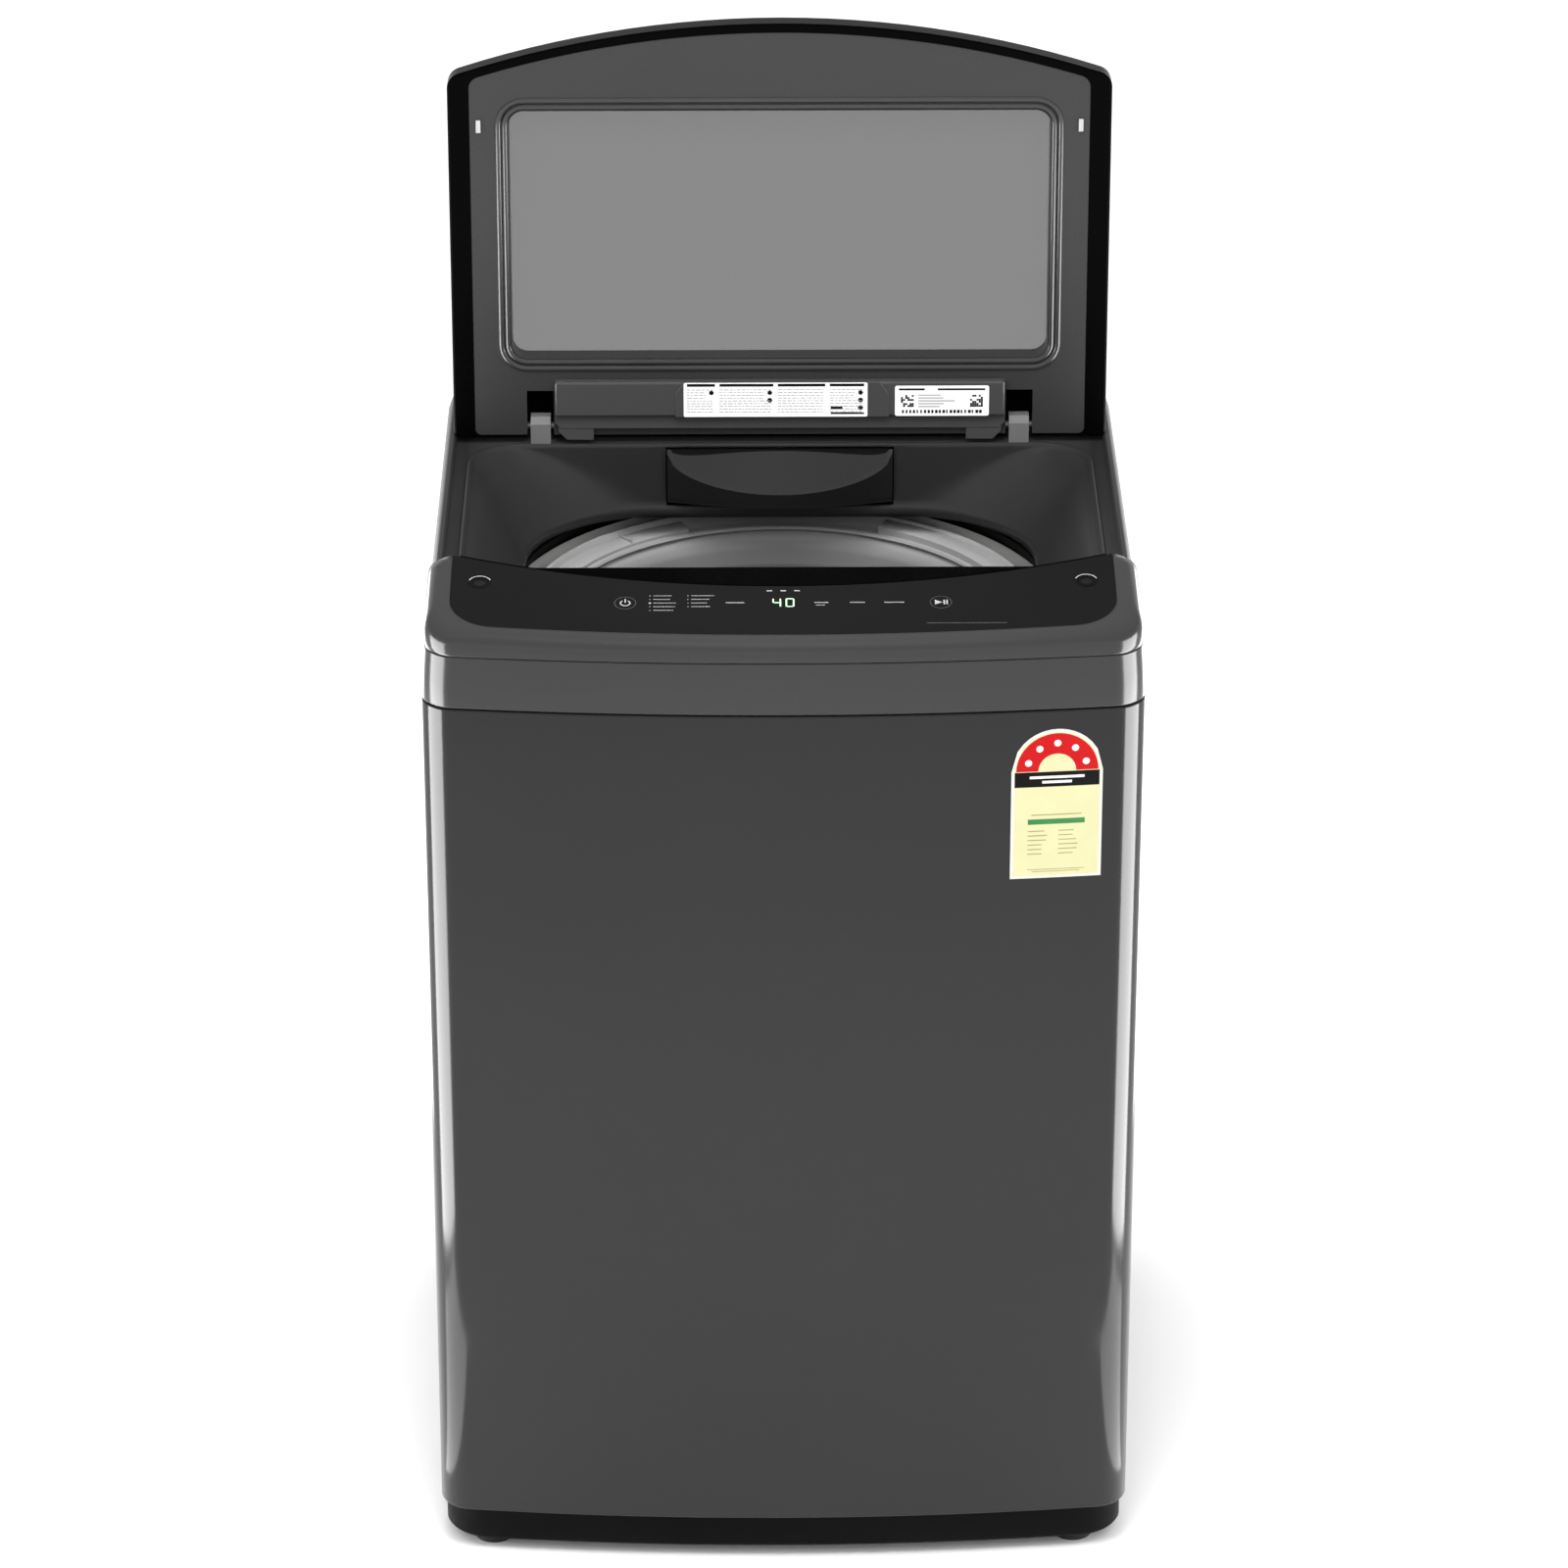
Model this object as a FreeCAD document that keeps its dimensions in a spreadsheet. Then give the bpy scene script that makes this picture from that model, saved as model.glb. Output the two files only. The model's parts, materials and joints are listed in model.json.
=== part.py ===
"""Top load washing machine: cabinet, top cover with its bowl, lid, dispenser drawer, hanging tub,
drum and pulsator. Millimetres, +Z up, front faces -Y, origin on the floor under the drum axis."""

import FreeCAD, Part
import math
import os
import types

import Sketcher

Vector = FreeCAD.Vector
Rotation = FreeCAD.Rotation
Placement = FreeCAD.Placement

doc = FreeCAD.newDocument("washing_machine")
sheet = doc.addObject("Spreadsheet::Sheet", "dims")

DIMENSIONS = {
    # cabinet
    "cabinet_width": 632, "cabinet_front": -315, "cabinet_rear": 300, "front_bow_radius": 2400,
    "front_corner_radius": 32, "rear_corner_radius": 10, "sheet_wall": 1.2,
    "plinth_bottom": 10, "panel_bottom": 46, "seam_level": 854.5, "rear_panel_plane": 286,
    "foot_radius": 20, "foot_inset_x": 268, "foot_inset_y": 262, "plinth_rim": 70,
    "rib_half_width": 200, "rib_height": 60, "screw_radius": 4.5,
    "drain_offset": -225, "drain_level": 92, "drain_radius": 14,
    "cord_offset": 240, "cord_level": 800,
    "inlet_cold_offset": 180, "inlet_hot_offset": 240, "inlet_level": 930, "inlet_radius": 13.2,
    "label_left": 198, "label_right": 278, "label_bottom": 694, "label_height": 143,
    "label_thickness": 0.35,
    # top cover
    "crease_level": 903, "deck_level": 914, "rail_level": 921, "skin": 3,
    "bowl_half_width": 285.5, "bowl_front": -130, "bowl_rear": 168, "opening_half_width": 237,
    "opening_front": -172, "opening_level": 850, "opening_corner": 120,
    # control panel
    "panel_half_width": 290, "panel_front": -295, "panel_front_level": 923.5, "panel_slope": 10.8,
    "panel_thickness": 3, "panel_rear": -222, "panel_rear_radius": 877, "panel_corner": 42,
    "bumper_offset": 265, "bumper_rise": 82, "bumper_radius": 9.7,
    # lid
    "pivot_setback": 178, "pivot_level": 930, "lid_half_width": 302.5, "lid_front": -210,
    "lid_rear": 188, "lid_bow_radius": 940, "lid_under": 922, "lid_top": 948,
    "inner_half_width": 283, "window_half_width": 247, "window_front": -128, "window_rear": 110,
    "window_corner": 14, "hinge_offset": 222, "hinge_pin_radius": 4, "lid_lean": 1.5,
    "hinge_slot_inner": 209.6, "hinge_slot_outer": 234.4, "hinge_arm_width": 18.5,
    "lid_pad_inner": 272, "lid_pad_outer": 277, "lid_pad_front": -120, "lid_pad_rear": -108,
    "hinge_cover_width": 404, "hinge_cover_front": 126, "hinge_cover_rear": 176,
    "hinge_cover_under": 912, "lid_label_thickness": 0.4,
    # dispenser
    "drawer_half_width": 105, "drawer_bottom": 857, "drawer_top": 909, "drawer_front_plane": 168,
    "drawer_front_radius": 380, "tray_half_width": 102, "tray_rear": 272, "tray_wall": 3,
    # tub, drum, pulsator
    "tub_radius": 266, "tub_wall": 4, "tub_bottom": 214, "tub_top": 822, "cover_radius": 273,
    "basket_radius": 240, "basket_wall": 1.5, "basket_bottom": 268, "basket_top": 775,
    "ring_inner_radius": 205, "ring_outer_radius": 240, "ring_lip_radius": 230,
    "ring_bottom": 768, "ring_inner_level": 810, "ring_top": 825,
    "tube_shaft_radius": 15, "inner_shaft_radius": 8.95, "bearing_radius": 31,
    "pulsator_radius": 180, "rod_spread_x": 250, "rod_spread_y": 232, "rod_radius": 5,
    "rod_bottom": 275, "bracket_level": 800, "bracket_reach": 24, "bracket_thickness": 6,
    "cup_radius": 21, "cup_bottom": 248, "spring_level": 283, "spring_radius": 11.5,
    "filter_bottom": 560, "filter_top": 700, "filter_half_width": 32,
}


class Size:
    """A length held as a number and as the spreadsheet expression that gives it."""

    def __init__(self, value, text):
        self.value = value
        self.text = text

    def _join(self, sign, other):
        other = as_size(other)
        results = {
            "+": lambda: self.value + other.value,
            "-": lambda: self.value - other.value,
            "*": lambda: self.value * other.value,
            "/": lambda: self.value / other.value,
        }
        return Size(results[sign](), "(%s %s %s)" % (self.text, sign, other.text))

    def __add__(self, other):
        return self._join("+", other)

    def __sub__(self, other):
        return self._join("-", other)

    def __mul__(self, other):
        return self._join("*", other)

    def __truediv__(self, other):
        return self._join("/", other)

    def __radd__(self, other):
        return as_size(other) + self

    def __rsub__(self, other):
        return as_size(other) - self

    def __neg__(self):
        return Size(-self.value, "(-1 * %s)" % self.text)


def as_size(item):
    if isinstance(item, Size):
        return item
    return Size(float(item), "(%r)" % float(item))


def fill_sheet():
    cells = {}
    for row, (alias, value) in enumerate(DIMENSIONS.items(), start=1):
        sheet.set("A%d" % row, alias)
        sheet.set("B%d" % row, str(value))
        sheet.setAlias("B%d" % row, alias)
        cells[alias] = Size(float(value), "dims." + alias)
    doc.recompute()
    return types.SimpleNamespace(**cells)


dim = fill_sheet()
half_width = dim.cabinet_width / 2
nodes = []


# ---------------------------------------------------------------- helpers

def keep(shape_object, label):
    """Mark an object as a finished piece of the machine."""
    shape_object.Label = label
    nodes.append(shape_object)
    return shape_object


def bind(thing, path, size):
    thing.setExpression(path, as_size(size).text)


def new_body(label):
    return keep(doc.addObject("PartDesign::Body", label), label)


def new_sketch(body, name, role="XY_Plane", level=0, tilt=None, pivot=None):
    """A sketch on one of the body's own planes, raised along its normal, or tilted about X."""
    plane = next(item for item in body.Origin.OriginFeatures if item.Role == role)
    sketch = body.newObject("Sketcher::SketchObject", name)
    sketch.AttachmentSupport = [(plane, "")]
    sketch.MapMode = "FlatFace"
    if tilt is None:
        bind(sketch, "AttachmentOffset.Base.z", level)
        return sketch
    offset = Placement(Vector(0, pivot[0].value, pivot[1].value), Rotation(Vector(1, 0, 0), tilt.value))
    sketch.AttachmentOffset = offset
    bind(sketch, "AttachmentOffset.Base.y", pivot[0])
    bind(sketch, "AttachmentOffset.Base.z", pivot[1])
    return sketch


def add_limit(sketch, constraint, size):
    number = sketch.addConstraint(constraint)
    sketch.setExpression("Constraints[%d]" % number, as_size(size).text)


def fix_point(sketch, index, end, point):
    for kind, coordinate in zip(("DistanceX", "DistanceY"), point):
        size = as_size(coordinate)
        add_limit(sketch, Sketcher.Constraint(kind, -1, 1, index, end, size.value), size)


def polygon(sketch, corners):
    points = [(as_size(a), as_size(b)) for a, b in corners]
    first = sketch.GeometryCount
    total = len(points)
    for i, start in enumerate(points):
        finish = points[(i + 1) % total]
        line = Part.LineSegment(
            Vector(start[0].value, start[1].value, 0), Vector(finish[0].value, finish[1].value, 0))
        sketch.addGeometry(line)
    for i in range(total):
        following = first + (i + 1) % total
        sketch.addConstraint(Sketcher.Constraint("Coincident", first + i, 2, following, 1))
    for i, point in enumerate(points):
        fix_point(sketch, first + i, 1, point)


def rectangle(sketch, left, right, low, high):
    polygon(sketch, [(left, low), (right, low), (right, high), (left, high)])


def circle(sketch, centre, radius):
    centre = [as_size(item) for item in centre]
    radius = as_size(radius)
    index = sketch.addGeometry(
        Part.Circle(Vector(centre[0].value, centre[1].value, 0), Vector(0, 0, 1), radius.value))
    fix_point(sketch, index, 3, centre)
    add_limit(sketch, Sketcher.Constraint("Radius", index, radius.value), radius)


def outline(sketch, side, front, rear, front_corner, rear_corner, bow=None):
    """A plan outline, symmetric about X = 0: straight sides and rear, rounded corners, and a front
    edge that is straight or bowed forwards with radius bow. Eight edges, always in the same order."""
    side, front, rear = as_size(side), as_size(front), as_size(rear)
    front_corner, rear_corner = as_size(front_corner), as_size(rear_corner)
    hw, rf, rr = side.value, front_corner.value, rear_corner.value
    if bow is None:
        corner_y = front.value + rf
        touch_angle = math.pi / 2
    else:
        bow = as_size(bow)
        bow_y = front.value + bow.value
        corner_y = bow_y - math.sqrt((bow.value - rf) ** 2 - (hw - rf) ** 2)
        touch_angle = math.atan2(bow_y - corner_y, hw - rf)
    axis = Vector(0, 0, 1)

    def arc(x, y, radius, begin, end):
        return Part.ArcOfCircle(Part.Circle(Vector(x, y, 0), axis, radius), begin, end)

    right, left = hw - rf, rf - hw
    touch_x = right + rf * math.cos(-touch_angle)
    touch_y = corner_y + rf * math.sin(-touch_angle)
    pieces = [
        arc(right, corner_y, rf, -touch_angle, 0),
        Part.LineSegment(Vector(hw, corner_y, 0), Vector(hw, rear.value - rr, 0)),
        arc(hw - rr, rear.value - rr, rr, 0, math.pi / 2),
        Part.LineSegment(Vector(hw - rr, rear.value, 0), Vector(rr - hw, rear.value, 0)),
        arc(rr - hw, rear.value - rr, rr, math.pi / 2, math.pi),
        Part.LineSegment(Vector(-hw, rear.value - rr, 0), Vector(-hw, corner_y, 0)),
        arc(left, corner_y, rf, math.pi, math.pi + touch_angle),
    ]
    if bow is None:
        pieces.append(Part.LineSegment(Vector(-touch_x, touch_y, 0), Vector(touch_x, touch_y, 0)))
    else:
        pieces.append(arc(0, bow_y, bow.value, math.pi + touch_angle, 2 * math.pi - touch_angle))
    first = sketch.GeometryCount
    for piece in pieces:
        sketch.addGeometry(piece)
    for i in range(8):
        sketch.addConstraint(Sketcher.Constraint("Tangent", first + i, 2, first + (i + 1) % 8, 1))
    for i, radius in ((0, front_corner), (2, rear_corner), (4, rear_corner), (6, front_corner)):
        add_limit(sketch, Sketcher.Constraint("Radius", first + i, radius.value), radius)
    for i, place in ((1, side), (5, -side)):
        sketch.addConstraint(Sketcher.Constraint("Vertical", first + i))
        add_limit(sketch, Sketcher.Constraint("DistanceX", -1, 1, first + i, 1, place.value), place)
    sketch.addConstraint(Sketcher.Constraint("Horizontal", first + 3))
    add_limit(sketch, Sketcher.Constraint("DistanceY", -1, 1, first + 3, 1, rear.value), rear)
    if bow is None:
        sketch.addConstraint(Sketcher.Constraint("Horizontal", first + 7))
        add_limit(sketch, Sketcher.Constraint("DistanceY", -1, 1, first + 7, 1, front.value), front)
    else:
        fix_point(sketch, first + 7, 3, (0, front + bow))
        add_limit(sketch, Sketcher.Constraint("Radius", first + 7, bow.value), bow)


def region_edges(sketch, side, arc_front, limit, radius):
    """Three straight edges and one arc about a centre on the Y axis, radius behind arc_front."""
    side, arc_front, limit, radius = [as_size(item) for item in (side, arc_front, limit, radius)]
    centre_y = arc_front.value + radius.value
    half_angle = math.asin(side.value / radius.value)
    meet_y = centre_y - radius.value * math.cos(half_angle)
    arc = Part.ArcOfCircle(
        Part.Circle(Vector(0, centre_y, 0), Vector(0, 0, 1), radius.value),
        1.5 * math.pi - half_angle, 1.5 * math.pi + half_angle)
    corners = [Vector(side.value, meet_y, 0), Vector(side.value, limit.value, 0),
               Vector(-side.value, limit.value, 0), Vector(-side.value, meet_y, 0)]
    sketch.addGeometry(arc)
    for start, finish in zip(corners, corners[1:]):
        sketch.addGeometry(Part.LineSegment(start, finish))
    for i in range(4):
        sketch.addConstraint(Sketcher.Constraint("Coincident", i, 2, (i + 1) % 4, 1))
    fix_point(sketch, 0, 3, (0, arc_front + radius))
    add_limit(sketch, Sketcher.Constraint("Radius", 0, radius.value), radius)
    fix_point(sketch, 1, 2, (side, limit))
    fix_point(sketch, 2, 2, (-side, limit))
    for i in (1, 3):
        sketch.addConstraint(Sketcher.Constraint("Vertical", i))


def feature(body, kind, sketch, length=None, reverse=False, both_ways=False, through=False):
    """Pad or Pocket of a sketch."""
    step = body.newObject("PartDesign::" + kind, sketch.Name + "_" + kind.lower())
    step.Profile = sketch
    step.Reversed = reverse
    step.Midplane = both_ways
    if through:
        step.Type = 1
    else:
        bind(step, "Length", length)
    return settle(step)


def pad(body, sketch, length, both_ways=False, down=False):
    return feature(body, "Pad", sketch, length, reverse=down, both_ways=both_ways)


def cut_up(body, sketch, length):
    """Remove what lies within length along the sketch's normal."""
    before = body.Shape.Volume
    feature(body, "Pocket", sketch, length, reverse=True)
    assert body.Shape.Volume < before - 1e-3, sketch.Name + " cuts nothing"


def cut_both(body, sketch, length):
    before = body.Shape.Volume
    feature(body, "Pocket", sketch, length, both_ways=True)
    assert body.Shape.Volume < before - 1e-3, sketch.Name + " cuts nothing"


def loft(body, sections, remove=False):
    kind = "PartDesign::SubtractiveLoft" if remove else "PartDesign::AdditiveLoft"
    step = body.newObject(kind, sections[0].Name + "_loft")
    step.Profile = sections[0]
    step.Sections = sections[1:]
    step.Ruled = True
    return settle(step)


def turned(label, corners):
    """A body of revolution about the Z axis from its (radius, height) corners."""
    body = new_body(label)
    sketch = new_sketch(body, label + "_profile", role="XZ_Plane")
    polygon(sketch, corners)
    turn = body.newObject("PartDesign::Revolution", label + "_turn")
    turn.Profile = sketch
    turn.ReferenceAxis = (sketch, ["V_Axis"])
    turn.Angle = 360
    settle(turn)
    return body


def ring(label, inner, outer, low, high):
    return turned(label, [(inner, low), (outer, low), (outer, high), (inner, high)])


def round_edges(body, radius, wanted):
    """Fillet the edges of the body's tip that the test picks."""
    base = body.Tip
    names = ["Edge%d" % (i + 1) for i, edge in enumerate(base.Shape.Edges) if wanted(edge)]
    step = body.newObject("PartDesign::Fillet", body.Name + "_round")
    step.Base = (base, names)
    bind(step, "Radius", radius)
    return settle(step)


def settle(step):
    """Recompute, and stop if the step failed."""
    doc.recompute()
    if not step.isValid():
        raise RuntimeError("%s failed: %s" % (step.Name, step.getStatusString()))
    return step


def at_level(level, tolerance=0.01):
    """A test for edges that lie wholly at one height."""
    def test(edge):
        return abs(edge.BoundBox.ZMin - level) < tolerance and abs(edge.BoundBox.ZMax - level) < tolerance
    return test


def box(name, x, y, z):
    """A Part box between the (low, high) pairs of x, y and z."""
    block = doc.addObject("Part::Box", name)
    for prop, axis, (low, high) in zip(("Length", "Width", "Height"), "xyz", (x, y, z)):
        bind(block, prop, as_size(high) - low)
        bind(block, "Placement.Base." + axis, low)
    return block


def rod(name, radius, length, base, direction=(0, 0, 1)):
    """A Part cylinder from a base point along a direction."""
    bar = doc.addObject("Part::Cylinder", name)
    bar.Placement = Placement(Vector(0, 0, 0), Rotation(Vector(0, 0, 1), Vector(*direction)))
    bind(bar, "Radius", radius)
    bind(bar, "Height", length)
    for axis, place in zip("xyz", base):
        bind(bar, "Placement.Base." + axis, place)
    return bar


def fuse(name, shapes):
    union = doc.addObject("Part::MultiFuse", name)
    union.Shapes = shapes
    return union


def cut(name, base, tool):
    result = doc.addObject("Part::Cut", name)
    result.Base = base
    result.Tool = tool
    return result


def group(name, shapes):
    """Separate solids that share one node."""
    bundle = doc.addObject("Part::Compound", name)
    bundle.Links = shapes
    return bundle


def four_corners(spread_x, spread_y):
    return [(spread_x * sx, spread_y * sy) for sx in (-1, 1) for sy in (-1, 1)]


# ---------------------------------------------------------------- cabinet

def build_base():
    body = new_body("base_frame")
    sketch = new_sketch(body, "plinth_plan", level=dim.plinth_bottom)
    outline(sketch, half_width - 4, dim.cabinet_front + 9, dim.cabinet_rear - 2, 42, 12,
            dim.front_bow_radius)
    pad(body, sketch, dim.panel_bottom - dim.plinth_bottom)
    hollow = new_sketch(body, "plinth_hollow", level=dim.plinth_bottom)
    rim = dim.plinth_rim
    outline(hollow, half_width - 4 - rim, dim.cabinet_front + 10 + rim, dim.cabinet_rear - 2 - rim, 40, 40)
    cut_up(body, hollow, dim.panel_bottom - dim.plinth_bottom)
    round_edges(body, 4, at_level(dim.plinth_bottom.value))
    bores = new_sketch(body, "plinth_bores", level=dim.plinth_bottom)
    for x, y in four_corners(dim.foot_inset_x, dim.foot_inset_y):
        circle(bores, (x, y), 6.2)
    cut_up(body, bores, 26)


def build_feet():
    for number, (x, y) in enumerate(four_corners(dim.foot_inset_x, dim.foot_inset_y), start=1):
        name = "levelling_foot_%d" % number
        shoulder = dim.plinth_bottom - 0.3
        foot = turned(name, [
            (0, 0), (dim.foot_radius - 2, 0), (dim.foot_radius, 3), (dim.foot_radius, 7),
            (dim.foot_radius - 6, shoulder), (6, shoulder), (6, 34), (0, 34)])
        bind(foot, "Placement.Base.x", x)
        bind(foot, "Placement.Base.y", y)


def build_cabinet_shell():
    body = new_body("cabinet_shell")
    sketch = new_sketch(body, "shell_plan", level=dim.panel_bottom)
    outline(sketch, half_width, dim.cabinet_front, dim.cabinet_rear, dim.front_corner_radius,
            dim.rear_corner_radius, dim.front_bow_radius)
    tall = dim.seam_level - dim.panel_bottom
    pad(body, sketch, tall)
    inside = new_sketch(body, "shell_inside", level=dim.panel_bottom)
    wall = dim.sheet_wall
    outline(inside, half_width - wall, dim.cabinet_front + wall, dim.cabinet_rear - wall,
            dim.front_corner_radius - wall, dim.rear_corner_radius - wall, dim.front_bow_radius - wall)
    cut_up(body, inside, tall)
    back = new_sketch(body, "shell_back_opening", level=dim.panel_bottom)
    rectangle(back, 22 - half_width, half_width - 22, dim.rear_panel_plane, dim.cabinet_rear + 5)
    cut_up(body, back, tall)


def build_rear_panel():
    plane = dim.rear_panel_plane
    edge = half_width - dim.sheet_wall
    sheet_metal = box("rear_sheet", (-edge, edge), (plane, plane + 1), (dim.panel_bottom, dim.seam_level))
    rib = dim.rib_half_width
    ribs = [box("rear_rib_%d" % i, (-rib, rib), (plane - 3, plane + 0.5), (low, low + dim.rib_height))
            for i, low in enumerate((300, 420, 540))]
    plate = fuse("rear_plate", [sheet_metal] + ribs)
    drain_base = (dim.drain_offset, plane - 10, dim.drain_level)
    cord_base = (dim.cord_offset, plane - 10, dim.cord_level)
    holes = [rod("drain_hole", dim.drain_radius + 3, 20, drain_base, (0, 1, 0)),
             rod("cord_hole", 9, 20, cord_base, (0, 1, 0))]
    keep(cut("rear_panel", plate, fuse("rear_holes", holes)), "rear_panel")
    screws = []
    for i, level in enumerate((80, 260, 440, 620, 800)):
        for side in (-1, 1):
            name = "screw_%d_%s" % (i, "left" if side < 0 else "right")
            base = ((half_width - 12) * side, plane + 1, level)
            screws.append(rod(name, dim.screw_radius, 2.2, base, (0, 1, 0)))
    keep(group("panel_screws", screws), "panel_screws")


def build_suspension_mounts():
    plates = []
    bars = []
    reach = dim.bracket_reach
    bracket_top = dim.bracket_level + dim.bracket_thickness
    for i, (x, y) in enumerate(four_corners(1, 1), start=1):
        rod_x = dim.rod_spread_x * x
        rod_y = dim.rod_spread_y * y
        outer = (half_width - dim.sheet_wall) * x
        spans = sorted((rod_x - reach * x, outer), key=lambda size: size.value)
        depth = (rod_y - reach, rod_y + reach)
        plate = box("bracket_plate_%d" % i, spans, depth, (dim.bracket_level, bracket_top))
        hole = rod("bracket_hole_%d" % i, 8, 20, (rod_x, rod_y, dim.bracket_level - 5))
        plates.append(cut("bracket_%d" % i, plate, hole))
        seat = rod("rod_seat_%d" % i, 16, 5, (rod_x, rod_y, dim.rod_bottom))
        bar_length = bracket_top + 10 - dim.rod_bottom - 3
        bar = rod("rod_bar_%d" % i, dim.rod_radius, bar_length, (rod_x, rod_y, dim.rod_bottom + 3))
        ball = rod("rod_head_%d" % i, 13, 10, (rod_x, rod_y, bracket_top))
        bars.append(fuse("suspension_rod_%d" % i, [bar, seat, ball]))
    keep(group("suspension_brackets", plates), "suspension_brackets")
    keep(group("suspension_rods", bars), "suspension_rods")


def build_back_fittings():
    plane = dim.rear_panel_plane
    rearward = (0, 1, 0)
    x, z = dim.drain_offset, dim.drain_level
    tube = fuse("drain_body", [
        rod("drain_spigot", dim.drain_radius, 45, (x, plane - 16, z), rearward),
        rod("drain_flange", dim.drain_radius + 10, 4, (x, plane + 1, z), rearward)])
    bore = rod("drain_bore", dim.drain_radius - 3, 60, (x, plane - 20, z), rearward)
    keep(cut("drain_outlet", tube, bore), "drain_outlet")
    x, z = dim.cord_offset, dim.cord_level
    grommet = fuse("grommet_body", [
        rod("grommet_collar", 14, 4, (x, plane + 1, z), rearward),
        rod("grommet_neck", 8.9, 14, (x, plane - 6, z), rearward)])
    keep(cut("cord_gland", grommet, rod("grommet_bore", 4.5, 30, (x, plane - 12, z), rearward)), "cord_gland")


def build_energy_label():
    """A printed sticker that follows the bowed front."""
    body = new_body("energy_label")
    bow = dim.front_bow_radius
    bottom, tall, thick = dim.label_bottom, dim.label_height, dim.label_thickness
    sketch = new_sketch(body, "label_plan", level=bottom)
    outline(sketch, half_width - 6, dim.cabinet_front - thick, dim.cabinet_rear, 32, 10, bow + thick)
    pad(body, sketch, tall)
    core = new_sketch(body, "label_core", level=bottom)
    outline(core, half_width + 14, dim.cabinet_front, dim.cabinet_rear + 10, 25, 10, bow)
    cut_up(body, core, tall)
    beside = new_sketch(body, "label_face", role="XZ_Plane")
    rectangle(beside, -400, dim.label_left, bottom - 10, bottom + tall + 10)
    rectangle(beside, dim.label_right, 400, bottom - 10, bottom + tall + 10)
    cut_both(body, beside, 900)


# ---------------------------------------------------------------- top cover and panel

def build_top_cover():
    body = new_body("top_cover")
    skin = dim.skin
    levels = [(dim.seam_level, 0, 0), (dim.crease_level, 3.5, 2.5), (dim.rail_level, 11, 12)]

    def sections(name, inset, levels):
        made = []
        for i, (level, side_in, front_in) in enumerate(levels):
            sketch = new_sketch(body, "%s_%d" % (name, i), level=level)
            outline(sketch, half_width - side_in - inset, dim.cabinet_front + front_in + inset,
                    dim.cabinet_rear - 1 - inset, 32 - inset, 10 - inset, dim.front_bow_radius - inset)
            made.append(sketch)
        return made

    loft(body, sections("cover_outside", 0, levels))
    hollow_levels = [levels[0], levels[1], (dim.deck_level - skin, 8, 8)]
    loft(body, sections("cover_inside", skin.value, hollow_levels), remove=True)

    def bowl_sections(name, inset, low_extra, high_extra):
        mouth = new_sketch(body, name + "_mouth", level=dim.deck_level + high_extra)
        outline(mouth, dim.bowl_half_width - inset, dim.bowl_front + inset, dim.bowl_rear - inset,
                30 - inset, 46 - inset)
        opening = new_sketch(body, name + "_opening", level=dim.opening_level - low_extra)
        outline(opening, dim.opening_half_width - inset, dim.opening_front + inset,
                dim.bowl_rear - inset, dim.opening_corner - inset, dim.opening_corner - inset)
        return [mouth, opening]

    loft(body, bowl_sections("bowl_outside", -skin.value, 0, -0.5))
    loft(body, bowl_sections("bowl_inside", 0, 0.2, 0.2), remove=True)
    recess = new_sketch(body, "lid_recess", level=dim.deck_level)
    half = [(289, -260), (301, 150), (303.8, 160), (303.8, 197), (330, 197), (330, 330)]
    polygon(recess, half + [(-x, y) for x, y in reversed(half)])
    cut_up(body, recess, 30)
    console = new_sketch(body, "console_clearance", level=dim.crease_level)
    region_edges(console, 340, dim.panel_rear + 0.4, dim.cabinet_front - 20, dim.panel_rear_radius)
    cut_up(body, console, 40)
    gap = new_sketch(body, "dispenser_gap", role="XZ_Plane", level=-200)
    rectangle(gap, -106, 106, dim.drawer_bottom - 1, dim.deck_level - skin)
    cut_up(body, gap, 100)


def build_front_bezel():
    body = new_body("front_bezel")

    def sections(name, inset, drop):
        made = []
        low = new_sketch(body, name + "_low", level=dim.crease_level)
        outline(low, half_width - 3.5 - inset, dim.cabinet_front + 2.5 + inset, -120, 32 - inset, 8,
                dim.front_bow_radius - inset)
        made.append(low)
        for i, (fall, side_in, front_in) in enumerate(((7, 5.5, 5), (2, 11, 10), (0, 17, 15))):
            pivot = (dim.panel_front, dim.panel_front_level - fall - drop)
            sketch = new_sketch(body, "%s_%d" % (name, i), tilt=dim.panel_slope, pivot=pivot)
            outline(sketch, half_width - side_in - inset, front_in - 20 + inset, 180, 32 - inset, 8,
                    dim.front_bow_radius - inset)
            made.append(sketch)
        return made

    loft(body, sections("bezel_outside", 0, 0))
    loft(body, sections("bezel_inside", dim.skin.value, 4)[:3], remove=True)
    seat = new_sketch(body, "panel_seat", tilt=dim.panel_slope,
                      pivot=(dim.panel_front, dim.panel_front_level - dim.panel_thickness - 8))
    outline(seat, dim.panel_half_width + 0.3, -0.3, 190, dim.panel_corner, 8, dim.front_bow_radius)
    cut_up(body, seat, 30)
    rear = new_sketch(body, "bezel_rear_cut", level=dim.crease_level - 1)
    region_edges(rear, 340, dim.panel_rear, 20, dim.panel_rear_radius)
    cut_up(body, rear, 90)


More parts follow.
